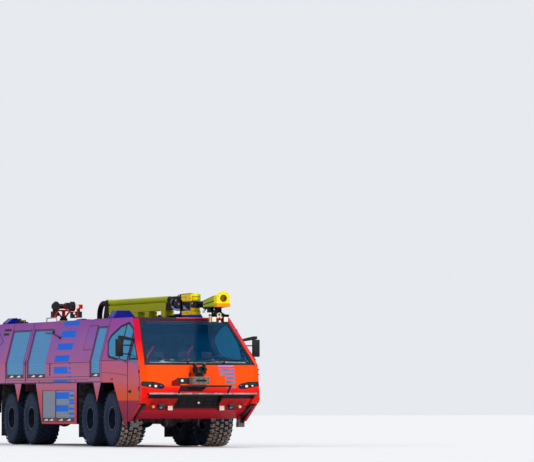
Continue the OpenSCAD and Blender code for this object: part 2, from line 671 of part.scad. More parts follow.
beacon_h = 195;
beacon_w = 600;
beacon_out = half_at(roof_z) - 70;
module beacons() color([0.0, 0.10, 0.75]) both() {
  translate([x1 - 1100, beacon_out, roof_z]) along_x([[-beacon_w, 0], [0, 0], [-20, 60], [-110, beacon_h],
    [-beacon_w + 170, beacon_h]], 0, 400);
  translate([x_tail + 30, beacon_out, roof_z]) along_x([[-beacon_w, 0], [0, 0], [-20, 50], [-160, beacon_h - 35],
    [-260, beacon_h - 30]], 0, 420);
}
pads = [[3820, 450], [2940, 320], [1720, 330]];
pivot_x = x1 - pivot_back;
turn_x = pivot_x - 300;
pedestal_h = 30;
plate_t = 25;
monitor_x = x1 - 7000;
monitor_y = -340;
beam_top = pivot_z - pipe_d / 2;
beam_low = beam_top - beam_h;
module roof_fittings() color([0.35, 0.45, 0.10]) {
  for (p = pads) block([x1 - p[0] - p[1] / 2, boom_y - beam_w / 2, roof_z],
    [x1 - p[0] + p[1] / 2, boom_y + beam_w / 2, beam_low - 6]);
  rod_z(turn_x, boom_y, 520, roof_z, roof_z + pedestal_h);
  rod_z(monitor_x, monitor_y, 300, roof_z, roof_z + 60);
}

// BOOM

pin_d = 60;
drum_d = 180;
drum_w = 150;
cheek_t = 25;
plate_low = roof_z + pedestal_h + touch;
plate_high = plate_low + plate_t;
cyl_base = [pivot_x + 300, boom_y, plate_high + 65];
cyl_eye = [pivot_x + 1450, boom_y, beam_low - 45];
hose_d = 140;
hose_x = pivot_x - 830;
hose_bend = 330;
module boom_turntable() color([0.10, 0.11, 0.12]) {
  rod_z(turn_x, boom_y, 500, plate_low, plate_high);
  block([hose_x - 100, boom_y - 190, plate_low], [cyl_base.x + 70, boom_y + 190, plate_high]);
  for (s = [-1, 1]) translate([0, s * (drum_w / 2 + 8 + cheek_t / 2) - cheek_t / 2, 0])
    along_y([[pivot_x - 260, plate_high - 1], [pivot_x + 220, plate_high - 1], [pivot_x + 75, pivot_z + 40],
      [pivot_x + 40, pivot_z + 75], [pivot_x - 40, pivot_z + 75], [pivot_x - 75, pivot_z + 40]],
      boom_y, boom_y + cheek_t);
  rod_y(pivot_x, pivot_z, pin_d, boom_y - drum_w / 2 - 40, boom_y + drum_w / 2 + 40);
  // swivel elbow of the water pipe
  rod_z(hose_x, boom_y, hose_d, plate_high - 1, pivot_z - hose_bend);
  translate([hose_x + hose_bend, boom_y, pivot_z - hose_bend]) rotate([90, 0, 0]) rotate([0, 0, 90])
    rotate_extrude(angle = 90) translate([hose_bend, 0]) circle(d = hose_d);
  rod_x(boom_y, pivot_z, hose_d, hose_x + hose_bend, pivot_x - drum_d / 2 - 12);
  // base lugs of the lift cylinder
  for (s = [-1, 1]) block([cyl_base.x - 45, boom_y + s * 42 - 10, plate_high - 1],
    [cyl_base.x + 45, boom_y + s * 42 + 10, cyl_base.z + 40]);
  rod_y(cyl_base.x, cyl_base.z, 40, boom_y - 50, boom_y + 50);
}
outer_x = x1 - outer_end;
module beam_box(x0, xa, inset) block([x0, boom_y - beam_w / 2 + inset, beam_low + inset],
  [xa, boom_y + beam_w / 2 - inset, beam_top - inset]);
module boom_outer() color([0.62, 0.66, 0.05]) difference() {
  union() {
    beam_box(pivot_x + 200, outer_x, 0);
    rod_x(boom_y, pivot_z, pipe_d, pivot_x + 60, outer_x);
    rod_y(pivot_x, pivot_z, drum_d, boom_y - drum_w / 2, boom_y + drum_w / 2);
    block([pivot_x + 130, boom_y - 30, beam_top - 60], [outer_x, boom_y + 30, beam_top + 20]);
    for (s = [-1, 1]) translate([0, s * 34 - 8, 0]) along_y([[cyl_eye.x - 90, beam_low + 1],
      [cyl_eye.x - 40, cyl_eye.z - 35], [cyl_eye.x + 40, cyl_eye.z - 35], [cyl_eye.x + 90, beam_low + 1]],
      boom_y, boom_y + 16);
  }
  rod_y(pivot_x, pivot_z, pin_d + 2 * run_gap, boom_y - drum_w, boom_y + drum_w);
  beam_box(pivot_x + 200 + beam_t, outer_x + 1, beam_t);
  rod_x(boom_y, pivot_z, pipe_d - 2 * beam_t, pivot_x + 200, outer_x + 1);
  rod_y(cyl_eye.x, cyl_eye.z, 40 + 2, boom_y - 80, boom_y + 80);
}
inset_in = beam_t + slide_gap;
// Outline given in distances ahead of axle 1 and above the boom's pivot
function by_pivot(points) = [for (p = points) [x1 + p[0], pivot_z + p[1]]];
// Swivel ring and flange in front of the outer boom
swivel_d = 270;
swivel_z = pivot_z - 105;
swivel_x = x1 - 1220;
flange_x = x1 - 400;
flange_l = 40;
// Perforated cover and tray around the valve housing
head_half = 130;
head_t = 12;
head_front = 310;
cover = [[-480, 60], [-400, -20], [-300, -60], [head_front, -80], [head_front, 85], [-440, 85]];
tray = [[-370, -325], [-310, -415], [head_front, -415], [head_front, -320]];
housing = [[-370, -325], [-370, -62], [head_front - 10, -62], [head_front - 10, -325]];
hole_pitch = 90;
// Upright column with its domed top, which carries the nozzle's fork
column_d = 185;
column_x = x1 + 335;
column_dome = pivot_z + 18;
fork_y = 146;
fork_t = 20;
fork_h = 160;
tilt_x = x1 + tilt_front;
tilt_z = pivot_z - 170;
module boom_inner() color([0.85, 0.80, 0.08]) {
  beam_box(pivot_x + 450, x1 - 560, inset_in);
  beam_box(pivot_x + 450, pivot_x + 550, beam_t + touch);
  rod_x(boom_y, pivot_z, pipe_d - 2 * inset_in, pivot_x + 450, x1 - 500);
  rod_x(boom_y, swivel_z, 160, outer_x + 15, flange_x + 1);
  rod_x(boom_y, swivel_z, swivel_d, swivel_x, swivel_x + 100);
  block([flange_x, boom_y - head_half - 20, pivot_z - 400], [flange_x + flange_l, boom_y + head_half + 20, pivot_z - 20]);
  along_y(by_pivot(housing), boom_y - head_half + 30, boom_y + head_half - 30);
  difference() {
    union() {
      along_y(by_pivot(cover), boom_y - head_half, boom_y + head_half);
      along_y(by_pivot(tray), boom_y - head_half, boom_y + head_half);
    }
    block([x1 - 490, boom_y - head_half + head_t, pivot_z - 415 + head_t],
      [x1 + head_front - 10, boom_y + head_half - head_t, pivot_z + 85 - head_t]);
    for (x = [x1 - 330 : hole_pitch : x1 + 200], z = [pivot_z + 15, pivot_z - 370])
      rod_y(x, z, 50, boom_y - 200, boom_y + 200);
  }
  rod_z(column_x, boom_y, column_d, pivot_z - 415, column_dome);
  translate([column_x, boom_y, column_dome]) sphere(d = column_d);
  // fork of the nozzle
  block([x1 + 400, boom_y - fork_y - fork_t / 2, tilt_z - fork_h / 2],
    [x1 + 440, boom_y + fork_y + fork_t / 2, tilt_z + fork_h / 2]);
  for (s = [-1, 1]) block([x1 + 430, boom_y + s * fork_y - fork_t / 2, tilt_z - fork_h / 2],
    [tilt_x + 60, boom_y + s * fork_y + fork_t / 2, tilt_z + fork_h / 2]);
  rod_x(boom_y, tilt_z, 120, x1 + 420, tilt_x - 95);
  rod_y(tilt_x, tilt_z, 50, boom_y - fork_y - 2, boom_y + fork_y + 2);
}
tip_x = x1 + nozzle_tip;
// Side view of the nozzle's body and its half widths at the rear and at the end plate
nozzle_back = 1150;
nozzle_side = [[nozzle_back, -300], [nozzle_back, -95], [nozzle_tip - 60, 30], [nozzle_tip - 60, -262]];
nozzle_half = [115, 165];
// End plate with a round top: half width, height of its middle, foot under it, thickness
plate_half = 170;
plate_mid = pivot_z - 60;
plate_foot = 203;
end_t = 70;
module boom_nozzle() color([0.95, 0.85, 0.10]) difference() {
  union() {
    rod_y(tilt_x, tilt_z, 150, boom_y - 120, boom_y + 120);
    rod_x(boom_y, tilt_z, 130, tilt_x, x1 + nozzle_back + 1);
    intersection() {
      along_y(by_pivot(nozzle_side), boom_y - plate_half, boom_y + plate_half);
      translate([0, boom_y, 0]) linear_extrude(big) polygon([[x1 + nozzle_back, -nozzle_half[0]],
        [tip_x - end_t + 1, -nozzle_half[1]], [tip_x - end_t + 1, nozzle_half[1]],
        [x1 + nozzle_back, nozzle_half[0]]]);
    }
    rod_x(boom_y, plate_mid, 2 * plate_half, tip_x - end_t, tip_x);
    block([tip_x - end_t, boom_y - plate_half, plate_mid - plate_foot], [tip_x, boom_y + plate_half, plate_mid]);
    // lamp bar below the body
    block([x1 + 1900, boom_y - 250, tilt_z - 320], [x1 + 1960, boom_y + 250, tilt_z - 270]);
    block([x1 + 1900, boom_y - 30, tilt_z - 280], [x1 + 1960, boom_y + 30, tilt_z - 50]);
    for (y = [-150, 150]) block([x1 + 1930, boom_y + y - 65, tilt_z - 460], [x1 + 2010, boom_y + y + 65, tilt_z - 319]);
  }
  rod_y(tilt_x, tilt_z, 50 + 2 * run_gap, boom_y - 200, boom_y + 200);
  rod_x(boom_y, plate_mid, 140, tip_x - 200, tip_x + 1);
}
cyl_d = 90;
rod_d = 50;
cyl_l = norm(cyl_eye - cyl_base);
cyl_a = atan2(cyl_eye.z - cyl_base.z, cyl_eye.x - cyl_base.x);
barrel_l = 660;
neck_l = 70;
module on_cylinder() translate(cyl_base) rotate([0, -cyl_a, 0]) children();
module lift_barrel() color([0.15, 0.15, 0.16]) on_cylinder() difference() {
  union() {
    rod_y(0, 0, 90, -30, 30);
    rod_x(0, 0, 56, 20, neck_l + 6);
    rod_x(0, 0, cyl_d, neck_l, barrel_l);
  }
  rod_y(0, 0, 40 + 2 * run_gap, -40, 40);
  rod_x(0, 0, rod_d + 2 * run_gap, 80, barrel_l + 1);
}
module lift_rod() color([0.75, 0.76, 0.78]) on_cylinder() difference() {
  union() {
    rod_x(0, 0, rod_d, 130, cyl_l - 10);
    rod_y(cyl_l, 0, 76, -20, 20);
  }
  rod_y(cyl_l, 0, 38, -40, 40);
}

// TURRET ON THE FRONT AND MONITOR ON THE ROOF

turret_x = x1 + 2475;
turret_y = -90;
turret_z = 1500;
turret_tilt_z = 1860;
module turret_arm() color([0.30, 0.29, 0.28]) {
  rod_z(turret_x, turret_y, 200, turret_z + shelf_h + touch, turret_z + 232);
  rod_z(turret_x, turret_y, 150, turret_z + 231, turret_z + 260);
  translate([0, turret_y, 0]) {
    difference() {
      block([turret_x - 70, -130, turret_z + 250], [turret_x + 60, 130, turret_tilt_z + 70]);
      block([turret_x - 80, -90, turret_z + 285], [turret_x + 70, 90, turret_tilt_z + 80]);
    }
    rod_y(turret_x, turret_tilt_z, 36, -100, 100);
    // tilting motor and hand wheel beside the fork
    rod_y(turret_x - 5, turret_tilt_z, 80, 129, 175);
    rod_y(turret_x - 5, turret_tilt_z, 100, -165, -145);
    rod_y(turret_x - 5, turret_tilt_z, 50, -146, -129);
  }
}
module turret_nozzle() color([0.08, 0.08, 0.09]) translate([0, turret_y, 0]) difference() {
  union() {
    rod_y(turret_x, turret_tilt_z, 110, -80, 80);
    rod_x(0, turret_tilt_z, 110, turret_x, turret_x + 190);
    rod_x(0, turret_tilt_z, 150, turret_x + 120, turret_x + 215);
  }
  rod_y(turret_x, turret_tilt_z, 36 + 2 * run_gap, -100, 100);
  rod_x(0, turret_tilt_z, 90, turret_x + 150, turret_x + 216);
}
monitor_z = roof_z + 60;
monitor_tilt_z = roof_z + 430;
// Round heads beside the fork: place across from the swivel, diameter, length
heads = [[-205, 250, 70], [235, 250, 92]];
module monitor_arm() color([0.75, 0.05, 0.05]) {
  for (h = heads) rod_y(monitor_x, monitor_tilt_z, h[1], monitor_y + h[0] - h[2] / 2, monitor_y + h[0] + h[2] / 2);
  block([monitor_x - 50, monitor_y + 280, monitor_tilt_z - 60], [monitor_x + 50, monitor_y + 500, monitor_tilt_z + 50]);
  rod_z(monitor_x, monitor_y, 200, monitor_z + touch, monitor_z + 60);
  rod_z(monitor_x, monitor_y, 90, monitor_z + 50, monitor_tilt_z - 90);
  difference() {
    block([monitor_x - 60, monitor_y - 190, monitor_tilt_z - 130], [monitor_x + 60, monitor_y + 190, monitor_tilt_z + 60]);
    block([monitor_x - 70, monitor_y - 150, monitor_tilt_z - 90], [monitor_x + 70, monitor_y + 150, monitor_tilt_z + 70]);
  }
  rod_y(monitor_x, monitor_tilt_z, 40, monitor_y - 160, monitor_y + 160);
}
module monitor_nozzle() color([0.08, 0.09, 0.11]) difference() {
  union() {
    rod_y(monitor_x, monitor_tilt_z, 130, monitor_y - 140, monitor_y + 140);
    rod_x(monitor_y, monitor_tilt_z, 110, monitor_x, monitor_x + 300);
    rod_x(monitor_y, monitor_tilt_z, 170, monitor_x + 240, monitor_x + 380);
  }
  rod_y(monitor_x, monitor_tilt_z, 40 + 2 * run_gap, monitor_y - 200, monitor_y + 200);
  rod_x(monitor_y, monitor_tilt_z, 110, monitor_x + 270, monitor_x + 381);
}

chassis_frame();
body_bearers();
steered_axle(axle_x[0]);  // axle_1
steered_axle(axle_x[1]);  // axle_2
fixed_axle(axle_x[2]);  // axle_3
fixed_axle(axle_x[3]);  // axle_4
knuckle(axle_x[0], 1);  // knuckle_1_left
knuckle(axle_x[0], -1);  // knuckle_1_right
knuckle(axle_x[1], 1);  // knuckle_2_left
knuckle(axle_x[1], -1);  // knuckle_2_right
tyre(0, 1);  // tyre_1_left
tyre(0, -1);  // tyre_1_right
tyre(1, 1);  // tyre_2_left
tyre(1, -1);  // tyre_2_right
tyre(2, 1);  // tyre_3_left
tyre(2, -1);  // tyre_3_right
tyre(3, 1);  // tyre_4_left
tyre(3, -1);  // tyre_4_right
rim(0, 1);  // rim_1_left
rim(0, -1);  // rim_1_right
rim(1, 1);  // rim_2_left
rim(1, -1);  // rim_2_right
rim(2, 1);  // rim_3_left
rim(2, -1);  // rim_3_right
rim(3, 1);  // rim_4_left
rim(3, -1);  // rim_4_right
engine_block();
drive_line();
body_tank();
body_rear();
side_shutters();
lower_lockers();
rear_grille();
mud_flaps();
cab_shell();
cab_front();
bumper();
front_guard();
cab_glass();
door(1);  // door_left
door(-1);  // door_right
door_glass(1);  // door_glass_left
door_glass(-1);  // door_glass_right
mirror_pair(1);  // mirror_left
mirror_pair(-1);  // mirror_right
seats();
dashboard();
lamps();
beacons();
roof_fittings();
boom_turntable();
boom_outer();
boom_inner();
boom_nozzle();
lift_barrel();
lift_rod();
turret_arm();
turret_nozzle();
monitor_arm();
monitor_nozzle();
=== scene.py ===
"""Eight-wheeled airport fire truck: paint, glass, tyres, lamps, boom mechanism, cab interior and stage."""
import math

import bmesh
import bpy
from mathutils import Matrix, Vector


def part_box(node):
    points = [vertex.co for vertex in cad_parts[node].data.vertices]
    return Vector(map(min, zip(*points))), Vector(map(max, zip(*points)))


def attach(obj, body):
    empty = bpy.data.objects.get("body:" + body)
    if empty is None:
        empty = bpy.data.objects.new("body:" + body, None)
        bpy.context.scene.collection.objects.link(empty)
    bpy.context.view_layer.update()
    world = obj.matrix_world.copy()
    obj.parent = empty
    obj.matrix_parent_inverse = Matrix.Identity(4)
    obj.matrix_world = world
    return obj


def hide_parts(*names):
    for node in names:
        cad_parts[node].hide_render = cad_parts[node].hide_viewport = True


bl_info = {
    "name": "Airport Fire Truck",
    "version": (1, 0, 0),
    "blender": (4, 5, 0),
    "location": "View3D > Sidebar > Fire Truck",
    "description": "Dresses the fire truck's solids with their finishes and finer pieces",
    "category": "Object",
}

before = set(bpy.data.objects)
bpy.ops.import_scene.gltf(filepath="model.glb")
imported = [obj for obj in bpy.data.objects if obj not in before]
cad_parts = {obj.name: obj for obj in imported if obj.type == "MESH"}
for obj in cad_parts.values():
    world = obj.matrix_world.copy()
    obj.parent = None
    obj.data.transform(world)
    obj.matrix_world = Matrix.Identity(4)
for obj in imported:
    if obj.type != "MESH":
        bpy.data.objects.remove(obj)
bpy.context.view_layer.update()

SIDES = {"left": 1, "right": -1}


def centre(node):
    """Middle of a solid's box at rest."""
    low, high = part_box(node)
    return (low + high) / 2


AXLE_X = [centre(f"tyre_{i}_left").x for i in (1, 2, 3, 4)]
TYRE_LOW, TYRE_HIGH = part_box("tyre_1_left")
HUB_Z = centre("tyre_1_left").z
TYRE_R = TYRE_HIGH.z - HUB_Z
TYRE_W = TYRE_HIGH.y - TYRE_LOW.y
TYRE_Y = centre("tyre_1_left").y
HALF_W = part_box("body_tank")[1].y
ROOF_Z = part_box("body_tank")[1].z
TAIL_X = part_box("body_rear")[0].x
# Heights of the belt line, of the arches' flat tops and of the lower edges of shutters and lockers
BELT_Z = 2.08
ARCH_Z = 1.57
SHUTTER_LOW = 1.79
LOCKER_LOW = 0.54
# Share by which the sides lean inwards above the belt line
LEAN = 0.25
# Windscreen's foot and top and the front panel's foot, ahead of axle 1 and in height
GLASS_FOOT = Vector((2.28, 0.0, 1.96))
GLASS_TOP = Vector((1.02, 0.0, 3.12))
FACE_FOOT = Vector((2.40, 0.0, 1.24))
# Foot and top of the sloping apron under the bar
APRON_FOOT = Vector((1.80, 0.0, 0.89))
APRON_TOP = Vector((2.41, 0.0, 1.2397))
# Boom: place across, height of its pivot and of the nozzle's tilt axis
BOOM_Y = 0.6
PIVOT_Z = 3.62
TILT_Z = 3.45
# Front turret and roof monitor: ahead of axle 1, across, height of the tilt axis
TURRET = (2.475, -0.09, 1.86)
MONITOR = (-7.0, -0.34, 3.55)


def ahead(x):
    """Place along X of a point at a distance ahead of axle 1."""
    return AXLE_X[0] + x


def at(x, y, z):
    """Point given by its distance ahead of axle 1, its place across and its height."""
    return Vector((ahead(x), y, z))


def rgb(red, green, blue):
    """Linear colour of an sRGB colour given in bytes."""
    def linear(value):
        value /= 255
        return value / 12.92 if value <= 0.04045 else ((value + 0.055) / 1.055) ** 2.4
    return (linear(red), linear(green), linear(blue))


def half_at(z):
    """Half width of the body at height z."""
    return HALF_W if z < BELT_Z else HALF_W - LEAN * (z - BELT_Z)


# Settings


def colour_setting(name, description, value):
    return bpy.props.FloatVectorProperty(name=name, description=description, default=value,
                                         size=3, min=0.0, max=1.0, subtype="COLOR")


def length_setting(name, description, value):
    return bpy.props.FloatProperty(name=name, description=description, default=value,
                                   min=0.0, unit="LENGTH")


class TruckColours(bpy.types.PropertyGroup):
    """Colours of the truck's finishes."""
    front: colour_setting("Front", "Paint of the front panel", rgb(255, 76, 0))
    apron: colour_setting("Apron", "Paint under the front bar", rgb(190, 14, 30))
    # Upper and lower side: violet and pink that stand for the sky's reflection on the red paint, a painted
    # reflection
    upper_side_reflection: colour_setting("Upper side", "Paint above the belt line", rgb(138, 88, 166))
    lower_side_reflection: colour_setting("Lower side", "Paint below the belt line", rgb(178, 106, 146))
    shutter: colour_setting("Shutters", "Finish of the roller shutters", rgb(76, 146, 196))
    stripe: colour_setting("Stripes", "Blue reflective bars", rgb(0, 104, 222))
    boom: colour_setting("Boom", "Lime paint of the outer boom", rgb(166, 176, 6))
    tip: colour_setting("Boom tip", "Yellow paint of the boom's head and nozzle", rgb(255, 226, 10))
    tyre: colour_setting("Tyres", "Rubber of the sidewalls", rgb(16, 34, 58))
    tread: colour_setting("Tread", "Dusty faces of the tread blocks", rgb(186, 168, 150))


class TruckSizes(bpy.types.PropertyGroup):
    """Sizes of the finer pieces."""
    tread_depth: length_setting("Tread depth", "Height of a tread block", 0.024)
    nut_circle: length_setting("Nut circle", "Radius of the wheel nuts' circle", 0.1675)
    tread_blocks: bpy.props.IntProperty(name="Tread blocks", default=30, min=12, max=48,
                                        description="Blocks in one row of a tyre's tread")
    wheel_nuts: bpy.props.IntProperty(name="Wheel nuts", default=10, min=6, max=20,
                                      description="Nuts that hold a wheel")


class TruckStage(bpy.types.PropertyGroup):
    """Camera, floor and light."""
    lens: bpy.props.FloatProperty(name="Lens", description="Focal length of the camera", default=306.34,
                                  min=1.0, subtype="DISTANCE_CAMERA")
    camera_place: bpy.props.FloatVectorProperty(name="Camera", description="Place of the camera",
                                                default=(107.41, -37.31, 0.953), subtype="TRANSLATION")
    camera_pan: bpy.props.FloatProperty(name="Pan", description="Heading of the camera, from +X",
                                        default=math.radians(159.01), subtype="ANGLE")
    camera_tilt: bpy.props.FloatProperty(name="Tilt", description="Upward tilt of the camera",
                                         default=math.radians(2.2235), subtype="ANGLE")
    floor: colour_setting("Floor", "Colour of the floor and the backdrop", (0.80, 0.81, 0.83))



def sizes():
    return bpy.context.scene.truck_sizes


# Mesh helpers

# Distance under which vertices are merged
WELD = 0.00005


def place_in_scene(name, mesh, body):
    """Object of a mesh that rides on a body."""
    made = bpy.data.objects.new(name, mesh)
    bpy.context.scene.collection.objects.link(made)
    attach(made, body)
    return made


def piece(name, bm, body, slot, *materials, replaces=(), smooth=0.0, bevel=0.0):
    """Turns a bmesh into a finished piece that rides on a body."""
    bmesh.ops.remove_doubles(bm, verts=bm.verts, dist=WELD)
    bmesh.ops.recalc_face_normals(bm, faces=bm.faces)
    if bevel:
        edges = [e for e in bm.edges if len(e.link_faces) == 2 and e.calc_face_angle(0.0) > 0.6]
        bmesh.ops.bevel(bm, geom=edges, offset=bevel, affect="EDGES", segments=2, profile=0.5,
                        material=-1, clamp_overlap=True)
    mesh = bpy.data.meshes.new(name)
    bm.to_mesh(mesh)
    bm.free()
    for material in materials:
        mesh.materials.append(material)
    if smooth:
        mesh.shade_smooth()
        mesh.set_sharp_from_angle(angle=math.radians(smooth))
    made = place_in_scene(name, mesh, body)
    if replaces:
        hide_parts(*replaces)
    return made


def paint_faces(bm, first, index):
    """Gives the faces from number first on a material slot."""
    bm.faces.ensure_lookup_table()
    for face in bm.faces[first:]:
        face.material_index = index


def mark(verts, index):
    """Gives the faces round some vertices a material slot."""
    for face in {f for v in verts for f in v.link_faces}:
        face.material_index = index


def block(bm, low, high, index=0):
    """Box between two corners."""
    low, high = Vector(low), Vector(high)
    place = Matrix.Translation((low + high) / 2) @ Matrix.Diagonal((*(high - low), 1.0))
    mark(bmesh.ops.create_cube(bm, size=1.0, matrix=place)["verts"], index)


def box(bm, x, y, z, side=1, index=0):
    """Box over ranges ahead of axle 1, across and in height, mirrored where side is -1."""
    across = sorted(side * edge for edge in y)
    block(bm, (ahead(x[0]), across[0], z[0]), (ahead(x[1]), across[1], z[1]), index)


def rod(bm, start, end, radius, steps=20, index=0):
    """Round bar between two points."""
    start, end = Vector(start), Vector(end)
    axis = end - start
    place = Matrix.Translation((start + end) / 2) @ axis.to_track_quat("Z", "Y").to_matrix().to_4x4()
    made = bmesh.ops.create_cone(bm, cap_ends=True, segments=steps, radius1=radius, radius2=radius,
                                 depth=axis.length, matrix=place)["verts"]
    mark(made, index)


def stud(bm, start, shift, radius, steps=20, index=0):
    """Round bar from a point along a shift."""
    rod(bm, start, Vector(start) + Vector(shift), radius, steps, index)


def bar(bm, start, end, radius, steps=20, index=0):
    """Round bar between two points given ahead of axle 1, across and in height."""
    rod(bm, at(*start), at(*end), radius, steps, index)


def turns(count, phase=0.0):
    """Angles of equal steps round a circle."""
    return [math.tau * k / count + phase for k in range(count)]


def around(middle, radius, angles, across=(0.0, 1.0, 0.0), up=(0.0, 0.0, 1.0)):
    """Points on a circle, which faces along X unless told otherwise."""
    for angle in angles:
        yield Vector(middle) + radius * (math.sin(angle) * Vector(across) + math.cos(angle) * Vector(up))


def pushed(bm, verts, faces, push):
    """Gives flat faces a thickness along a vector and returns their old and new vertices."""
    grown = bmesh.ops.extrude_face_region(bm, geom=faces)["geom"]
    moved = [g for g in grown if isinstance(g, bmesh.types.BMVert)]
    bmesh.ops.translate(bm, verts=moved, vec=Vector(push))
    return verts + moved


def plate(bm, corners, push, index=0):
    """Flat outline pushed along a vector into a solid plate."""
    verts = [bm.verts.new(c) for c in corners]
    mark(pushed(bm, verts, [bm.faces.new(verts)], push), index)


def rim_of(bm, corners, width, push):
    """Frame of a given width inside a flat outline, pushed along a vector."""
    verts = [bm.verts.new(c) for c in corners]
    face = bm.faces.new(verts)
    face.normal_update()
    ring = bmesh.ops.inset_region(bm, faces=[face], thickness=width, use_even_offset=True,
                                  use_boundary=True)["faces"]
    bmesh.ops.delete(bm, geom=[face], context="FACES_ONLY")
    pushed(bm, verts, ring, push)


def lathe(bm, profile, place, steps=48, index=0):
    """Outline of radius and height turned about the local Z of a placing matrix."""
    verts = [bm.verts.new(place @ Vector((r, 0.0, h))) for r, h in profile]
    edges = [bm.edges.new((a, b)) for a, b in zip(verts, verts[1:])]
    axis = place.to_3x3() @ Vector((0.0, 0.0, 1.0))
    before = len(bm.faces)
    bmesh.ops.spin(bm, geom=verts + edges, cent=place.translation, axis=axis, angle=math.tau,
                   steps=steps, use_merge=True)
    paint_faces(bm, before, index)


def band(inner, outer, low, high):
    """Closed outline of a flat ring for the lathe."""
    return [(inner, low), (outer, low), (outer, high), (inner, high), (inner, low)]


def facing_x(place):
    """Placing matrix with its Z along the truck's X."""
    return Matrix.Translation(place) @ Matrix.Rotation(math.pi / 2, 4, "Y")


def pipe(name, points, radius, body, material, bend=0.05):
    """Round pipe through a few points given ahead of axle 1, its corners bent to a radius."""
    curve = bpy.data.curves.new(name, "CURVE")
    curve.dimensions = "3D"
    curve.bevel_depth = radius
    curve.bevel_resolution = 2
    curve.use_fill_caps = True
    points = [at(*p) for p in points]
    route = [points[0]]
    for before, corner, after in zip(points, points[1:], points[2:]):
        near = corner + (before - corner).normalized() * min(bend, (before - corner).length * 0.48)
        far = corner + (after - corner).normalized() * min(bend, (after - corner).length * 0.48)
        for t in (0.0, 0.25, 0.5, 0.75, 1.0):
            route.append(near.lerp(corner, t).lerp(corner.lerp(far, t), t))
    route.append(points[-1])
    spline = curve.splines.new("POLY")
    spline.points.add(len(route) - 1)
    for point, place in zip(spline.points, route):
        point.co = (*place, 1.0)
    carrier = bpy.data.objects.new(name + "_route", curve)
    bpy.context.scene.collection.objects.link(carrier)
    bpy.context.view_layer.update()
    mesh = bpy.data.meshes.new_from_object(carrier.evaluated_get(bpy.context.evaluated_depsgraph_get()))
    bpy.data.objects.remove(carrier)
    mesh.name = name
    mesh.materials.clear()
    mesh.materials.append(material)
    mesh.shade_smooth()
    place_in_scene(name, mesh, body)


# Places on the body's faces


def on_side(x, z, side, lift=0.0):
    """Point on the body's side face, given by its distance ahead of axle 1 and its height."""
    out = Vector((0.0, side, LEAN if z > BELT_Z else 0.0)).normalized()
    return at(x, side * half_at(z), z) + out * lift


def side_patch(bm, x0, x1, z0, z1, side, lift=0.0015):
    """Thin bar on the body's side, bent where it crosses the belt line."""
    gap = 0.0005
    bands = [(z0, z1)] if z1 <= BELT_Z or z0 >= BELT_Z else [(z0, BELT_Z - gap), (BELT_Z + gap, z1)]
    for low, high in bands:
        corners = [on_side(x, z, side, lift) for x, z in ((x0, low), (x1, low), (x1, high), (x0, high))]
        plate(bm, corners, (0.0, -side * (lift + 0.001), 0.0))


def side_line(bm, points, side, width=0.012, lift=0.002):
    """Dark joint line along points given by distance ahead of axle 1 and height."""
    for (xa, za), (xb, zb) in zip(points, points[1:]):
        a, b = on_side(xa, za, side, lift), on_side(xb, zb, side, lift)
        along = (b - a).normalized()
        across = along.cross(Vector((0.0, side, 0.0))).normalized() * width / 2
        tip = along * width / 2
        plate(bm, [a - across - tip, b - across + tip, b + across + tip, a + across - tip],
              (0.0, -side * (lift + 0.001), 0.0))


def side_plate(bm, points, side, lift, push):
    """Plate on the body's side, its outline given ahead of axle 1 and in height."""
    plate(bm, [on_side(x, z, side, lift) for x, z in points], (0.0, side * push, 0.0))


def on_slope(foot, top, x, y, lift):
    """Point on a sloping face of the front, given ahead of axle 1 and across, lifted off it."""
    slope = top - foot
    z = foot.z + (x - foot.x) * slope.z / slope.x
    return at(x, y, z) + Vector((slope.z, 0.0, -slope.x)).normalized() * lift


def on_screen(y, up, lift=0.0):
    """Point on the windscreen, up is the distance from its foot along the slope."""
    slope = (GLASS_TOP - GLASS_FOOT).normalized()
    return on_slope(GLASS_FOOT, GLASS_TOP, (GLASS_FOOT + slope * up).x, y, lift)


def on_face(y, z, lift=0.0):
    """Point on the flat front panel, given across and by its height."""
    share = (z - FACE_FOOT.z) / (GLASS_FOOT.z - FACE_FOOT.z)
    return on_slope(FACE_FOOT, GLASS_FOOT, FACE_FOOT.lerp(GLASS_FOOT, share).x, y, lift)


def on_apron(y, x, lift=0.0):
    """Point on the sloping apron under the bar, given across and ahead of axle 1."""
    return on_slope(APRON_FOOT, APRON_TOP, x, y, lift)


FACE_OUT = on_face(0, 1.5, 1.0) - on_face(0, 1.5)
GLASS_OUT = on_screen(0, 0, 1.0) - on_screen(0, 0)


def face_plate(bm, outline, lift, thick, index=0):
    """Plate on the front panel, its outline given across and in height."""
    plate(bm, [on_face(y, z, lift) for y, z in outline], FACE_OUT * thick, index)


# Materials

BLACK = rgb(14, 15, 20)
# Heights between which the paint of the cab and the body changes
PAINT_LOW, PAINT_HIGH = 0.4, 3.2


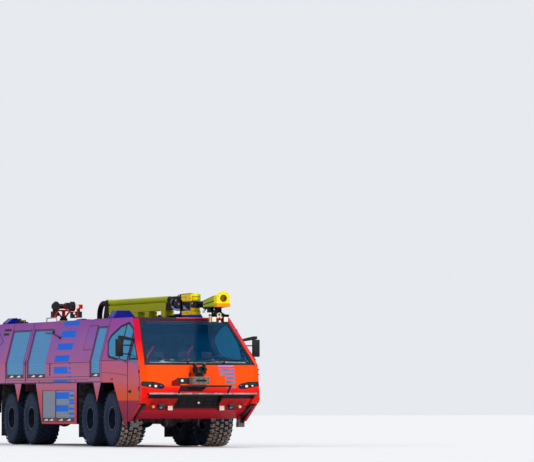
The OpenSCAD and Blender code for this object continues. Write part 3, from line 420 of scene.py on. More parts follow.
class Finish:
    """A new material with its Principled shader and short ways to feed it."""

    def __init__(self, name, colour=(0.5, 0.5, 0.5), roughness=0.5, metallic=0.0, **inputs):
        self.material = bpy.data.materials.new(name)
        self.material.use_nodes = True
        self.nodes = self.material.node_tree.nodes
        self.links = self.material.node_tree.links
        self.shader = self.nodes["Principled BSDF"]
        self.shader.inputs["Base Color"].default_value = (*colour, 1.0)
        self.shader.inputs["Roughness"].default_value = roughness
        self.shader.inputs["Metallic"].default_value = metallic
        for label, value in inputs.items():
            self.shader.inputs[label.replace("_", " ")].default_value = value
        self.place = self.nodes.new("ShaderNodeTexCoord").outputs["Object"]

    def node(self, kind, **settings):
        made = self.nodes.new("ShaderNode" + kind)
        for label, value in settings.items():
            setattr(made, label, value)
        return made

    def axis(self, letter):
        """Place along an axis."""
        split = self.node("SeparateXYZ")
        self.links.new(self.place, split.inputs[0])
        return split.outputs[letter]

    def facing(self, letter):
        """Part of the surface's normal along an axis."""
        split = self.node("SeparateXYZ")
        self.links.new(self.place.node.outputs["Normal"], split.inputs[0])
        return split.outputs[letter]

    def noise(self, scale, detail=3.0, roughness=0.5, stretch=None):
        texture = self.node("TexNoise")
        texture.inputs["Scale"].default_value = scale
        texture.inputs["Detail"].default_value = detail
        texture.inputs["Roughness"].default_value = roughness
        source = self.place
        if stretch:
            mapping = self.node("Mapping")
            mapping.inputs["Scale"].default_value = stretch
            self.links.new(self.place, mapping.inputs["Vector"])
            source = mapping.outputs["Vector"]
        self.links.new(source, texture.inputs["Vector"])
        return texture.outputs["Fac"]

    def wave(self, scale, **settings):
        texture = self.node("TexWave", **settings)
        texture.inputs["Scale"].default_value = scale
        self.links.new(self.place, texture.inputs["Vector"])
        return texture.outputs["Fac"]

    def spread(self, source, from_low, from_high, low=0.0, high=1.0):
        ranged = self.node("MapRange")
        labels = ("From Min", "From Max", "To Min", "To Max")
        for label, value in zip(labels, (from_low, from_high, low, high)):
            ranged.inputs[label].default_value = value
        self.links.new(source, ranged.inputs["Value"])
        return ranged.outputs["Result"]

    def maths(self, operation, first, second=0.0):
        node = self.node("Math", operation=operation)
        for slot, value in zip(node.inputs, (first, second)):
            if isinstance(value, (int, float)):
                slot.default_value = value
            else:
                self.links.new(value, slot)
        return node.outputs[0]

    def read(self, source):
        """Place along an axis given by its letter, or the source itself."""
        return self.axis(source) if isinstance(source, str) else source

    def over(self, source, edge):
        """One where a source is past an edge, else nought."""
        return self.maths("GREATER_THAN", self.read(source), edge)

    def below(self, source, edge):
        """One where a source is short of an edge, else nought."""
        return self.maths("LESS_THAN", self.read(source), edge)

    def between(self, source, low, high):
        """One between two edges, else nought."""
        return self.both(self.over(source, low), self.below(source, high))

    def outside(self, source, edge):
        """One where a source is past an edge on either side of nought."""
        return self.over(self.maths("ABSOLUTE", self.read(source)), edge)

    def both(self, mask, *others):
        """One where every mask is one."""
        for other in others:
            mask = self.maths("MULTIPLY", mask, other)
        return mask

    def either(self, first, second):
        """One where one of two masks is one."""
        return self.maths("MAXIMUM", first, second)

    def ramp(self, source, stops):
        ramp = self.node("ValToRGB")
        bands = ramp.color_ramp.elements
        bands[0].position, bands[0].color = stops[0][0], (*stops[0][1], 1.0)
        bands[1].position, bands[1].color = stops[-1][0], (*stops[-1][1], 1.0)
        for position, colour in stops[1:-1]:
            bands.new(position).color = (*colour, 1.0)
        self.links.new(source, ramp.inputs["Fac"])
        return ramp.outputs["Color"]

    def mix(self, factor, first, second):
        mix = self.node("Mix", data_type="RGBA")
        for slot, value in ((mix.inputs[0], factor), (mix.inputs[6], first), (mix.inputs[7], second)):
            if isinstance(value, tuple):
                slot.default_value = (*value, 1.0)
            else:
                self.links.new(value, slot)
        return mix.outputs[2]

    def feed(self, label, source):
        self.links.new(source, self.shader.inputs[label])
        return self

    def bump(self, source, distance, strength):
        bump = self.node("Bump")
        bump.inputs["Distance"].default_value = distance
        bump.inputs["Strength"].default_value = strength
        self.links.new(source, bump.inputs["Height"])
        return self.feed("Normal", bump.outputs["Normal"])

    def clouds(self, source, first, second, low=0.35, high=0.7):
        """Base colour that runs from one colour to another."""
        return self.feed("Base Color", self.ramp(source, [(low, first), (high, second)]))

    def patches(self, source, low, high, first, second, most=1.0):
        """Base colour with soft patches of a second colour."""
        return self.feed("Base Color", self.mix(self.spread(source, low, high, 0.0, most), first, second))

    def uneven(self, scale, detail, low, high):
        """Roughness that wanders between two values."""
        return self.feed("Roughness", self.spread(self.noise(scale, detail), 0.3, 0.7, low, high))

    def grain(self, scale, detail, distance, strength):
        """Fine relief."""
        return self.bump(self.noise(scale, detail), distance, strength)


def finish(maker):
    """Makes a material once and hands out the same one after that."""
    made = []

    def hand_out():
        if not made:
            made.append(maker().material)
        return made[0]
    return hand_out


def setting(name):
    """Colour from the settings."""
    return tuple(getattr(bpy.context.scene.truck_colours, name))


def darker(colour, share):
    return tuple(c * share for c in colour)


def gloss_coat(name):
    """Clear coated paint with a fine orange peel, still without its colour."""
    f = Finish(name, roughness=0.42, Coat_Weight=0.03, Coat_Roughness=0.10, Specular_IOR_Level=0.05)
    f.feed("Roughness", f.spread(f.noise(22.0, 5.0), 0.35, 0.7, 0.36, 0.50))
    return f.grain(160.0, 1.0, 0.0006, 0.25)


def gloss_paint(name, colour):
    """Paint of one colour, faintly uneven."""
    f = gloss_coat(name)
    return f.clouds(f.noise(1.3, 4.0), darker(colour, 0.92), colour, 0.35, 0.65)


def tones(f, base, *layers):
    """Base colour with further colours laid over it, each by its own mask."""
    for mask, colour in layers:
        base = f.mix(mask, base, colour)
    return f.patches(f.noise(3.0, 4.0), 0.35, 0.65, base, rgb(20, 20, 22), 0.16)


@finish
def body_paint():
    """Violet above the belt line and pink below it, a painted reflection of the sky on the red paint; dark
    painted shade on end faces inside the wheel arches.
    """
    f = gloss_coat("body_paint")
    belt = (BELT_Z - PAINT_LOW) / (PAINT_HIGH - PAINT_LOW)
    # Side colours by height: a painted reflection of the sky on the red paint, violet where the side leans
    # back above the belt line
    side = f.ramp(f.spread(f.axis("Z"), PAINT_LOW, PAINT_HIGH), [
        (0.0, rgb(176, 44, 70)), (0.30, rgb(196, 76, 84)), (0.42, setting("lower_side_reflection")),
        (belt - 0.01, rgb(172, 94, 136)), (belt + 0.004, rgb(158, 92, 152)),
        (0.82, setting("upper_side_reflection")), (1.0, rgb(138, 66, 150))])
    wandering = f.mix(f.spread(f.noise(0.9, 3.0), 0.4, 0.62, 0.0, 0.2), side, rgb(196, 96, 112))
    # Painted shade: end faces inside the wheel arches turn dark
    inside = f.both(f.between("Z", 0.2, ARCH_Z), f.over("X", TAIL_X + 0.2), f.outside(f.facing("X"), 0.4))
    return f.feed("Base Color", f.mix(inside, wandering, rgb(20, 14, 30)))


@finish
def cab_paint():
    """Orange red to the front and pink sides, the pink a painted reflection of the sky on the same red paint,
    dark crimson low down, dark painted shade on edges and inside.
    """
    f = gloss_coat("cab_paint")
    z = f.spread(f.axis("Z"), PAINT_LOW, PAINT_HIGH)
    side = f.ramp(z, [
        (0.0, rgb(112, 8, 38)), (0.252, rgb(152, 20, 62)), (0.262, rgb(214, 76, 20)),
        (0.33, rgb(212, 78, 44)), (0.42, rgb(198, 92, 106)), (0.59, rgb(186, 88, 128)),
        (0.60, rgb(168, 80, 146)), (1.0, rgb(150, 66, 156))])
    front = f.ramp(z, [
        (0.0, rgb(180, 16, 40)), (0.35, rgb(250, 60, 10)), (0.60, rgb(252, 60, 20)),
        (0.72, rgb(240, 30, 26)), (0.78, rgb(208, 6, 48)), (0.955, rgb(200, 6, 52)),
        (0.965, rgb(232, 70, 44))])
    # Outer layer of the windscreen's slope, which is 0.14 m deep, and all that is below its foot
    out_x, out_z = 0.677, 0.7357
    depth = f.maths("ADD", f.maths("MULTIPLY", f.axis("X"), out_x), f.maths("MULTIPLY", f.axis("Z"), out_z))
    outer = f.over(depth, out_x * ahead(GLASS_FOOT.x) + out_z * GLASS_FOOT.z - 0.14)
    outer = f.either(outer, f.below("Z", 1.97))
    # Forward faces take the front colours and faces turned aside the side colours: lit orange in front and a
    # painted reflection of the sky on the sides
    toned = f.mix(f.both(outer, f.spread(f.facing("X"), 0.30, 0.55)), side, front)
    # Painted shade, dark teal: edges of the doors and their openings, wheel arch, inside of the cab
    edges = f.both(f.outside(f.facing("X"), 0.93), f.below("X", ahead(2.16)))
    arch = f.both(f.below(f.facing("X"), -0.4), f.below("Z", ARCH_Z))
    lean = f.maths("MULTIPLY", f.maths("MAXIMUM", f.maths("SUBTRACT", f.axis("Z"), BELT_Z), 0.0), LEAN)
    across = f.maths("ADD", f.maths("ABSOLUTE", f.axis("Y")), lean)
    inside = f.both(f.between("Z", 1.29, 3.06), f.below(across, HALF_W - 0.025), f.below(f.facing("X"), 0.30))
    toned = f.mix(f.either(f.either(edges, arch), inside), toned, rgb(8, 28, 38))
    header = f.both(f.over("Z", 3.085), f.below("Y", -0.16), f.over(f.facing("X"), 0.30))
    return f.feed("Base Color", f.mix(header, toned, rgb(84, 30, 62)))


@finish
def front_paint():
    """Orange front, grey turret shelf with a lighter top as a painted highlight, hinges in the pink of the
    sides' painted reflection.
    """
    f = gloss_coat("front_paint")
    shelf = f.both(f.over("X", ahead(2.372)), f.between("Z", 1.499, 1.684))
    # The shelf's lighter top is a painted highlight; the outermost faces take the sides' pink, a painted
    # reflection
    return tones(f, setting("front"), (f.spread(f.axis("Z"), 1.50, 1.40), rgb(240, 16, 6)),
                 (shelf, rgb(122, 112, 106)), (f.both(shelf, f.over("Z", 1.680)), rgb(196, 176, 166)),
                 (f.outside("Y", HALF_W - 0.002), rgb(196, 80, 104)))


@finish
def apron_paint():
    """Orange red under the bar, crimson below, a black painted shadow right under the bar, grey steps."""
    f = gloss_coat("apron_paint")
    band = f.ramp(f.spread(f.axis("Z"), 0.6, 1.3), [
        (0.0, rgb(150, 10, 40)), (0.40, rgb(190, 24, 46)), (0.43, rgb(160, 8, 22)), (0.9, rgb(190, 18, 14))])
    band = f.mix(f.both(f.outside("Y", 1.20), f.over("Z", 1.0)), band, rgb(226, 26, 12))
    # Painted shadow: a near black band right under the bar
    painted_bar_shadow = f.both(f.over("Z", 1.165), f.below(f.maths("ABSOLUTE", f.axis("Y")), 1.34))
    band = f.mix(painted_bar_shadow, band, rgb(18, 12, 20))
    return f.feed("Base Color", f.mix(f.below("Z", 0.66), band, rgb(96, 96, 100)))


@finish
def recess_paint():
    return gloss_paint("recess_paint", rgb(132, 4, 14))


@finish
def maroon_paint():
    return gloss_paint("maroon_paint", rgb(66, 2, 18))


@finish
def red_paint():
    return gloss_paint("red_paint", rgb(214, 22, 16))


@finish
def plum_paint():
    return gloss_paint("plum_paint", rgb(120, 60, 150))


@finish
def lime_paint():
    return gloss_paint("lime_paint", setting("boom"))


@finish
def turntable_paint():
    """Black foot, fork and elbow, dark lime on top."""
    f = gloss_coat("turntable_paint")
    return tones(f, BLACK, (f.over("Z", PIVOT_Z + 0.12), rgb(60, 70, 14)))

@finish
def boom_head_paint():
    """Lime inner beam, black valve housing and fork, yellow covers, column in yellow and lime."""
    f = gloss_coat("boom_head_paint")
    housing = f.both(f.between("Z", 3.301, 3.539), f.below("X", ahead(0.24)))
    column = f.both(f.over("X", ahead(0.25)), f.over("Y", BOOM_Y + 0.01))
    fork = f.both(f.over("X", ahead(0.399)), f.between("Z", TILT_Z - 0.085, TILT_Z + 0.085))
    return tones(f, setting("boom"), (f.over("X", ahead(-1.56)), BLACK),
                 (f.over("X", ahead(-0.359)), setting("tip")), (column, rgb(168, 190, 24)),
                 (housing, BLACK), (fork, BLACK))


@finish
def nozzle_paint():
    """Lime body between a black top bar and underside, yellow end plate turning orange low down as painted
    shade, black pivot and lamp bar.
    """
    f = gloss_coat("nozzle_paint")
    rise = 0.1213
    top = f.maths("SUBTRACT", f.axis("Z"), f.maths("MULTIPLY", f.axis("X"), rise))
    bar = f.over(top, 3.508 - rise * ahead(1.15))
    end_plate = f.over("X", ahead(2.0))
    # Painted shade: the end plate's lower part turns orange
    foot = f.both(end_plate, f.below("Z", 3.44))
    return tones(f, rgb(170, 192, 16), (bar, BLACK), (f.below("Z", 3.372), BLACK),
                 (end_plate, setting("tip")), (foot, rgb(232, 150, 20)),
                 (f.below("X", ahead(1.149)), BLACK), (f.below("Z", 3.30), BLACK))


@finish
def monitor_red():
    """Red fork and box, dark round heads and foot."""
    f = gloss_coat("monitor_red")
    heads = (f.between("Y", -0.153, -0.057), f.between("Y", -0.582, -0.508))
    return tones(f, rgb(206, 16, 14), *((head, rgb(24, 28, 40)) for head in heads),
                 (f.below("Z", 3.30), rgb(22, 24, 30)))


@finish
def lamp_bodies():
    """Black housings in front, red tail lamps."""
    f = Finish("lamp_bodies", rgb(20, 22, 28), 0.25, Coat_Weight=0.4, Coat_Roughness=0.08)
    f.uneven(20.0, 4.0, 0.18, 0.32)
    return tones(f, rgb(20, 22, 28), (f.below("Z", 1.10), rgb(40, 42, 48)),
                 (f.below("X", 0.0), rgb(190, 12, 10)))


@finish
def tan_lens():
    f = Finish("tan_lens", rgb(196, 164, 110), 0.25, Coat_Weight=0.5, Coat_Roughness=0.1)
    f.clouds(f.noise(30.0, 3.0), rgb(176, 146, 96), rgb(208, 180, 128), 0.35, 0.65)
    return f.grain(90.0, 2.0, 0.001, 0.3)


@finish
def stripe_film():
    """Blue reflective film with a fine diagonal pattern."""
    blue = setting("stripe")
    f = Finish("stripe_film", blue, 0.4, Specular_IOR_Level=0.06)
    pattern = f.wave(90.0, wave_type="BANDS", bands_direction="DIAGONAL")
    return f.clouds(pattern, darker(blue, 0.86), blue, 0.2, 0.8)


@finish
def shutter_metal():
    """Blue grey slats over black bottom rails."""
    blue = setting("shutter")
    f = Finish("shutter_metal", blue, 0.40, 0.10, Specular_IOR_Level=0.2)
    grain = f.noise(4.0, 5.0, 0.6, stretch=(0.2, 1.0, 14.0))
    tone = f.mix(f.spread(f.axis("Z"), 1.4, 1.7), rgb(130, 142, 156), blue)
    slats = f.mix(f.spread(grain, 0.35, 0.65, 0.0, 0.25), tone, darker(blue, 0.66))
    rail = f.either(f.between("Z", SHUTTER_LOW - 0.085, SHUTTER_LOW - 0.005),
                    f.below("Z", LOCKER_LOW + 0.145))
    f.feed("Base Color", f.mix(rail, slats, rgb(16, 18, 26)))
    return f.uneven(30.0, 4.0, 0.30, 0.45)


@finish
def bar_blue():
    f = Finish("bar_blue", rgb(84, 122, 164), 0.4, Specular_IOR_Level=0.1)
    return f.clouds(f.noise(5.0, 4.0), rgb(70, 108, 158), rgb(96, 134, 176), 0.35, 0.65)


@finish
def bar_sky():
    f = Finish("bar_sky", rgb(50, 160, 236), 0.4, Specular_IOR_Level=0.1)
    return f.clouds(f.noise(5.0, 4.0), rgb(36, 148, 230), rgb(70, 170, 240), 0.35, 0.65)


@finish
def black_trim():
    f = Finish("black_trim", rgb(12, 12, 16), 0.55, Specular_IOR_Level=0.25)
    f.clouds(f.noise(14.0, 5.0), rgb(8, 8, 12), rgb(20, 22, 28))
    return f.uneven(30.0, 4.0, 0.42, 0.65).grain(420.0, 2.0, 0.0008, 0.35)


@finish
def navy_trim():
    f = Finish("navy_trim", rgb(14, 16, 40), 0.5, Specular_IOR_Level=0.3)
    f.clouds(f.noise(14.0, 4.0), rgb(10, 12, 32), rgb(26, 28, 58))
    return f.grain(300.0, 2.0, 0.0006, 0.25)


@finish
def joint_line():
    f = Finish("joint_line", rgb(70, 14, 50), 0.7)
    return f.clouds(f.noise(12.0, 3.0), rgb(58, 12, 44), rgb(84, 18, 58))


@finish
def frame_black():
    f = Finish("frame_black", rgb(26, 27, 32), 0.5, 0.2, Coat_Weight=0.15, Coat_Roughness=0.3)
    f.patches(f.noise(6.0, 6.0), 0.45, 0.75, rgb(24, 25, 30), rgb(74, 68, 64), 0.7)
    return f.uneven(18.0, 5.0, 0.42, 0.72).grain(90.0, 4.0, 0.0012, 0.3)


@finish
def cast_metal():
    f = Finish("cast_metal", rgb(44, 45, 50), 0.6, 0.5)
    f.patches(f.noise(8.0, 6.0), 0.42, 0.7, rgb(38, 39, 44), rgb(92, 80, 70))
    return f.uneven(26.0, 5.0, 0.5, 0.75).grain(120.0, 5.0, 0.002, 0.4)


@finish
def engine_metal():
    f = Finish("engine_metal", rgb(104, 106, 112), 0.5, 0.6)
    f.patches(f.noise(7.0, 6.0), 0.42, 0.7, rgb(96, 98, 104), rgb(58, 54, 52))
    return f.grain(60.0, 5.0, 0.002, 0.4)


@finish
def sidewall_rubber():
    f = Finish("sidewall_rubber", setting("tyre"), 0.68, Specular_IOR_Level=0.2)
    f.patches(f.noise(7.0, 6.0, 0.6), 0.42, 0.72, setting("tyre"), rgb(44, 60, 84), 0.4)
    return f.uneven(24.0, 5.0, 0.58, 0.82).grain(220.0, 3.0, 0.001, 0.4)


@finish
def tread_rubber():
    """Dusty blocks on the leading axle; dark blocks as painted shadow on the shoulders and behind it."""
    f = Finish("tread_rubber", setting("tread"), 0.85, Specular_IOR_Level=0.2)
    dusty = f.mix(f.spread(f.noise(26.0, 6.0, 0.65), 0.40, 0.62), setting("tread"), rgb(60, 54, 54))
    # Painted shadow: shoulder blocks and all tyres behind the leading axle turn dark
    dark = f.either(f.outside("Y", TYRE_HIGH.y - 0.05), f.below("X", ahead(-0.8)))
    f.feed("Base Color", f.mix(dark, dusty, rgb(20, 30, 46)))
    return f.uneven(30.0, 4.0, 0.72, 0.95).grain(160.0, 4.0, 0.0015, 0.5)


@finish
def rim_paint():
    f = Finish("rim_paint", rgb(20, 36, 54), 0.42, 0.15, Specular_IOR_Level=0.3)
    f.patches(f.noise(11.0, 6.0), 0.45, 0.75, rgb(16, 32, 50), rgb(60, 70, 84), 0.5)
    return f.uneven(20.0, 5.0, 0.36, 0.62).grain(140.0, 3.0, 0.0008, 0.25)


@finish
def bright_steel():
    f = Finish("bright_steel", rgb(196, 200, 206), 0.26, 1.0)
    f.feed("Roughness", f.spread(f.noise(12.0, 5.0, 0.6, stretch=(1.0, 1.0, 8.0)), 0.3, 0.7, 0.18, 0.38))
    return f.grain(200.0, 3.0, 0.0003, 0.2)


@finish
def bare_grey():
    f = Finish("bare_grey", rgb(150, 148, 150), 0.45, 0.4)
    f.patches(f.noise(9.0, 5.0), 0.4, 0.7, rgb(160, 158, 160), rgb(96, 90, 90))
    return f.grain(120.0, 3.0, 0.0006, 0.3)


def pane(name, colour, transmission, **inputs):
    """Tinted glass that is a little uneven."""
    f = Finish(name, colour, 0.02, Transmission_Weight=transmission, IOR=1.45, **inputs)
    return f.feed("Roughness", f.spread(f.noise(5.0, 5.0), 0.4, 0.8, 0.02, 0.06))


@finish
def screen_glass():
    """Dark teal windscreen, brighter teal in the crew windows."""
    f = pane("screen_glass", rgb(0, 84, 136), 0.2, Specular_IOR_Level=0.3)
    crew = f.both(f.outside("Y", 1.20), f.below("X", ahead(1.30)))
    f.feed("Transmission Weight", f.spread(crew, 0.0, 1.0, 0.20, 0.50))
    f.feed("Alpha", f.spread(crew, 0.0, 1.0, 0.20, 0.96))
    return f.feed("Base Color", f.mix(crew, rgb(0, 84, 136), rgb(0, 176, 228)))


@finish
def side_glass():
    return pane("side_glass", rgb(0, 168, 220), 0.50, Specular_IOR_Level=0.12, Alpha=0.96)


def ribs(f, scale):
    """Upright ribs of a lamp's lens."""
    return f.wave(scale, wave_type="BANDS", bands_direction="Y")


@finish
def lens_blue():
    f = Finish("lens_blue", rgb(0, 14, 150), 0.12, Transmission_Weight=0.3, IOR=1.49, Specular_IOR_Level=0.25)
    wave = ribs(f, 14.0)
    return f.clouds(wave, rgb(0, 8, 120), rgb(0, 30, 176), 0.1, 0.9).bump(wave, 0.002, 0.3)


@finish
def lens_red():
    f = Finish("lens_red", rgb(200, 10, 8), 0.15, Transmission_Weight=0.3, IOR=1.49, Coat_Weight=0.8)
    return f.bump(ribs(f, 30.0), 0.002, 0.4)


@finish
def lens_amber():
    f = Finish("lens_amber", rgb(255, 190, 90), 0.2, Transmission_Weight=0.2, IOR=1.49, Coat_Weight=0.6)
    return f.grain(90.0, 2.0, 0.001, 0.3)


@finish
def lamp_white():
    f = Finish("lamp_white", rgb(255, 232, 206), 0.35, Specular_IOR_Level=0.4)
    wave = ribs(f, 40.0)
    return f.clouds(wave, rgb(236, 208, 182), rgb(255, 240, 220), 0.1, 0.9).bump(wave, 0.001, 0.4)


@finish
def mirror_face():
    return Finish("mirror_face", rgb(200, 210, 216), 0.04, 1.0).grain(2.0, 1.0, 0.0005, 0.1)


@finish
def seat_cloth():
    f = Finish("seat_cloth", rgb(34, 38, 48), 0.9, Sheen_Weight=0.3, Sheen_Roughness=0.5)
    weave = f.node("TexChecker")
    weave.inputs["Scale"].default_value = 160.0
    weave.inputs["Color1"].default_value = (*rgb(28, 32, 42), 1.0)
    weave.inputs["Color2"].default_value = (*rgb(46, 52, 66), 1.0)
    f.links.new(f.place, weave.inputs["Vector"])
    f.patches(f.noise(6.0, 4.0), 0.4, 0.7, weave.outputs["Color"], rgb(60, 66, 80), 0.4)
    return f.grain(400.0, 2.0, 0.001, 0.5)


@finish
def dash_plastic():
    f = Finish("dash_plastic", rgb(38, 46, 50), 0.6)
    f.clouds(f.noise(10.0, 4.0), rgb(30, 38, 42), rgb(50, 60, 64))
    return f.grain(300.0, 3.0, 0.001, 0.4)


@finish
def dash_mat():
    f = Finish("dash_mat", rgb(150, 196, 176), 0.5)
    f.clouds(f.noise(6.0, 4.0, stretch=(1.0, 0.5, 1.0)), rgb(112, 166, 154), rgb(196, 226, 206), 0.38, 0.62)
    return f.grain(80.0, 3.0, 0.001, 0.3)


@finish
def belt_red():
    return Finish("belt_red", rgb(226, 50, 70), 0.8, Sheen_Weight=0.2).grain(500.0, 2.0, 0.001, 0.5)


@finish
def mud_rubber():
    f = Finish("mud_rubber", rgb(20, 22, 28), 0.8)
    f.patches(f.noise(9.0, 6.0), 0.42, 0.7, rgb(18, 20, 26), rgb(70, 64, 60))
    return f.grain(180.0, 3.0, 0.001, 0.4)


@finish
def hose_rubber():
    f = Finish("hose_rubber", BLACK, 0.45, Coat_Weight=0.2)
    return f.bump(f.wave(60.0, wave_type="RINGS"), 0.001, 0.2)


@finish
def pipe_blue():
    f = Finish("pipe_blue", rgb(150, 170, 206), 0.3, 0.5, Coat_Weight=0.3)
    f.clouds(f.noise(8.0, 4.0), rgb(130, 150, 190), rgb(176, 192, 222))
    return f.grain(100.0, 2.0, 0.0006, 0.2)


# Finishes of the solids that stay as they are
NODE_FINISH = {
    "chassis_frame": frame_black, "body_bearers": frame_black, "engine_block": engine_metal,
    "drive_line": cast_metal, "body_tank": body_paint, "body_rear": body_paint,
    "lower_lockers": body_paint, "side_shutters": shutter_metal, "rear_grille": black_trim,
    "mud_flaps": mud_rubber, "cab_shell": cab_paint, "cab_front": front_paint, "bumper": apron_paint,
    "front_guard": black_trim, "cab_glass": screen_glass, "door_left": cab_paint,
    "door_right": cab_paint, "door_glass_left": side_glass, "door_glass_right": side_glass,
    "dashboard": dash_plastic, "beacons": lens_blue, "roof_fittings": lime_paint,
    "boom_turntable": turntable_paint, "boom_outer": lime_paint, "boom_inner": boom_head_paint,
    "boom_nozzle": nozzle_paint, "lift_barrel": frame_black, "lift_rod": bright_steel,
    "turret_arm": black_trim, "turret_nozzle": black_trim, "monitor_arm": monitor_red,
    "monitor_nozzle": black_trim, "lamps": lamp_bodies,
}


class TRUCK_OT_finish_solids(bpy.types.Operator):
    """Gives each solid that shows its own finish"""
    bl_idname = "truck.finish_solids"
    bl_label = "Finish the solids"

    def execute(self, context):
        for name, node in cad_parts.items():
            maker = NODE_FINISH.get(name)
            if name.startswith(("axle", "knuckle")):
                maker = cast_metal
            if name.startswith("rim"):
                maker = rim_paint
            if maker is None:
                continue
            node.data.materials.clear()
            node.data.materials.append(maker())
        return {"FINISHED"}


# Wheels


def wheel_names():
    return [(i, side) for i in (1, 2, 3, 4) for side in SIDES]


# Rows of tread blocks: place across, shift in blocks, width, turn in radians
TREAD_ROWS = ((-0.230, 0.00, 0.112, 0.34), (-0.118, 0.50, 0.086, -0.25), (0.0, 0.00, 0.080, 0.0),
              (0.118, 0.50, 0.086, 0.25), (0.230, 0.00, 0.112, -0.34))


def tyre_profile(crown):
    """Closed outline of a tyre's carcass, given by radius and place across."""
    half = TYRE_W / 2
    bead = 0.288
    # Radius and distance in from the tyre's side
    flank = ((bead, 0.040), (bead + 0.020, 0.040), (bead + 0.030, 0.028), (bead + 0.075, 0.016),
             (bead + 0.080, 0.009), (bead + 0.088, 0.009), (bead + 0.094, 0.014), (0.445, 0.002),
             (0.500, 0.0), (0.512, 0.004), (0.560, 0.006), (0.580, 0.014), (0.620, 0.032),
             (crown - 0.012, 0.060), (crown, 0.085))
    outer = [(r, half - inset) for r, inset in flank]
    return [*outer, *((r, -y) for r, y in reversed(outer)), outer[0]]


def tyre_form(bm):
    """One tyre about the origin with its axis along Y, outer side at +Y."""
    depth = sizes().tread_depth
    count = sizes().tread_blocks
    crown = TYRE_R - depth
    lathe(bm, tyre_profile(crown), Matrix.Rotation(-math.pi / 2, 4, "X"), steps=72)
    bmesh.ops.remove_doubles(bm, verts=bm.verts, dist=WELD)
    first = len(bm.faces)
    long = math.tau * crown / count * 0.70
    for y, phase, wide, skew in TREAD_ROWS:
        for angle in turns(count, math.tau * phase / count):
            place = (Matrix.Rotation(angle, 4, "Y") @ Matrix.Translation((0.0, y, crown + depth / 2 - 0.004))
                     @ Matrix.Rotation(skew, 4, "Z"))
            size = Matrix.Diagonal((long, wide, depth, 1.0))
            made = bmesh.ops.create_cube(bm, size=1.0, matrix=place @ size)["verts"]
            outward = (place.to_3x3() @ Vector((0.0, 0.0, 1.0))).normalized()
            top = [v for v in made if (v.co - place.translation).dot(outward) > 0]
            bmesh.ops.scale(bm, verts=top, vec=(0.86, 0.92, 0.86),
                            space=Matrix.Translation(-place.translation))
            if abs(y) > 0.2:
                edge = [v for v in made if abs(v.co.y) > abs(y)]
                bmesh.ops.translate(bm, verts=edge, vec=-outward * 0.016)
    paint_faces(bm, first, 1)
    # Ribs on both shoulders
    size = Matrix.Diagonal((long * 0.62, 0.018, 0.070, 1.0))
    for angle in turns(count, math.pi / count):
        for face in (-1, 1):
            place = Matrix.Translation((0.0, face * (TYRE_W / 2 - 0.030), 0.602))
            turn = Matrix.Rotation(angle, 4, "Y") @ place @ Matrix.Rotation(face * -0.55, 4, "X")
            bmesh.ops.create_cube(bm, size=1.0, matrix=turn @ size)


class TRUCK_OT_tyres(bpy.types.Operator):
    """Moulded tyres with their sidewalls and tread blocks"""
    bl_idname = "truck.tyres"
    bl_label = "Tyres"

    def execute(self, context):
        form = bmesh.new()
        tyre_form(form)
        pattern = bpy.data.meshes.new("tyre_pattern")
        form.to_mesh(pattern)
        form.free()
        for i, side in wheel_names():
            bm = bmesh.new()
            bm.from_mesh(pattern)
            place = Matrix.Translation((AXLE_X[i - 1], SIDES[side] * TYRE_Y, HUB_Z))
            turn = Matrix.Rotation(math.pi if SIDES[side] < 0 else 0.0, 4, "Z")
            roll = Matrix.Rotation(0.37 * i, 4, "Y")
            bmesh.ops.transform(bm, matrix=place @ turn @ roll, verts=bm.verts)
            piece(f"moulded_tyre_{i}_{side}", bm, f"wheel_{i}_{side}", "tyre", sidewall_rubber(),
                  tread_rubber(), replaces=(f"tyre_{i}_{side}",), smooth=35)
        return {"FINISHED"}


class TRUCK_OT_wheel_nuts(bpy.types.Operator):
    """Nuts, hub bolts and valves of the wheels"""
    bl_idname = "truck.wheel_nuts"
    bl_label = "Wheel nuts"

    def execute(self, context):
        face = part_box("rim_1_left")[1].y
        seat = TYRE_Y + 0.088
        ahead_axis = (1.0, 0.0, 0.0)
        for i, side in wheel_names():
            bm = bmesh.new()
            hub = Vector((AXLE_X[i - 1], 0.0, HUB_Z))
            out = Vector((0.0, SIDES[side], 0.0))
            angles = turns(sizes().wheel_nuts, 0.2 * i)
            for spot in around(hub, sizes().nut_circle, angles, ahead_axis):
                stud(bm, spot + out * (seat - 0.010), out * 0.032, 0.017, 6)
                stud(bm, spot + out * (seat + 0.020), out * 0.016, 0.010, 10)
            for spot in around(hub, 0.108, turns(16), ahead_axis):
                stud(bm, spot + out * (face - 0.125), out * 0.016, 0.008, 6)
            for spot in around(hub, 0.235, [0.9 + i], ahead_axis):
                stud(bm, spot + out * (TYRE_Y + 0.07), out * 0.05, 0.006, 8)
            piece(f"wheel_nuts_{i}_{side}", bm, f"wheel_{i}_{side}", "rim_paint", bare_grey(), smooth=30)
        return {"FINISHED"}


# Body


# Rear and front edges ahead of axle 1
SHUTTERS = ((-8.16, -6.78), (-6.38, -4.97), (-1.41, -0.76))
LOCKERS = ((-5.27, -4.27), (-4.21, -2.74))


def rail_marks(bm, x0, x1, y, z, side):
    """Pale wedge shaped marks on the black bottom rail of a shutter."""
    count = 2 if x1 - x0 > 0.8 else 1
    for k in range(count):
        mid = x0 + (x1 - x0) * (k + 0.6) / (count + 0.3)
        corners = [(mid - 0.15, 0.012), (mid + 0.17, 0.012), (mid + 0.17, 0.056), (mid + 0.05, 0.056)]
        plate(bm, [at(a, side * (y - 0.0005), z + b) for a, b in corners], (0.0, side * 0.0025, 0.0))


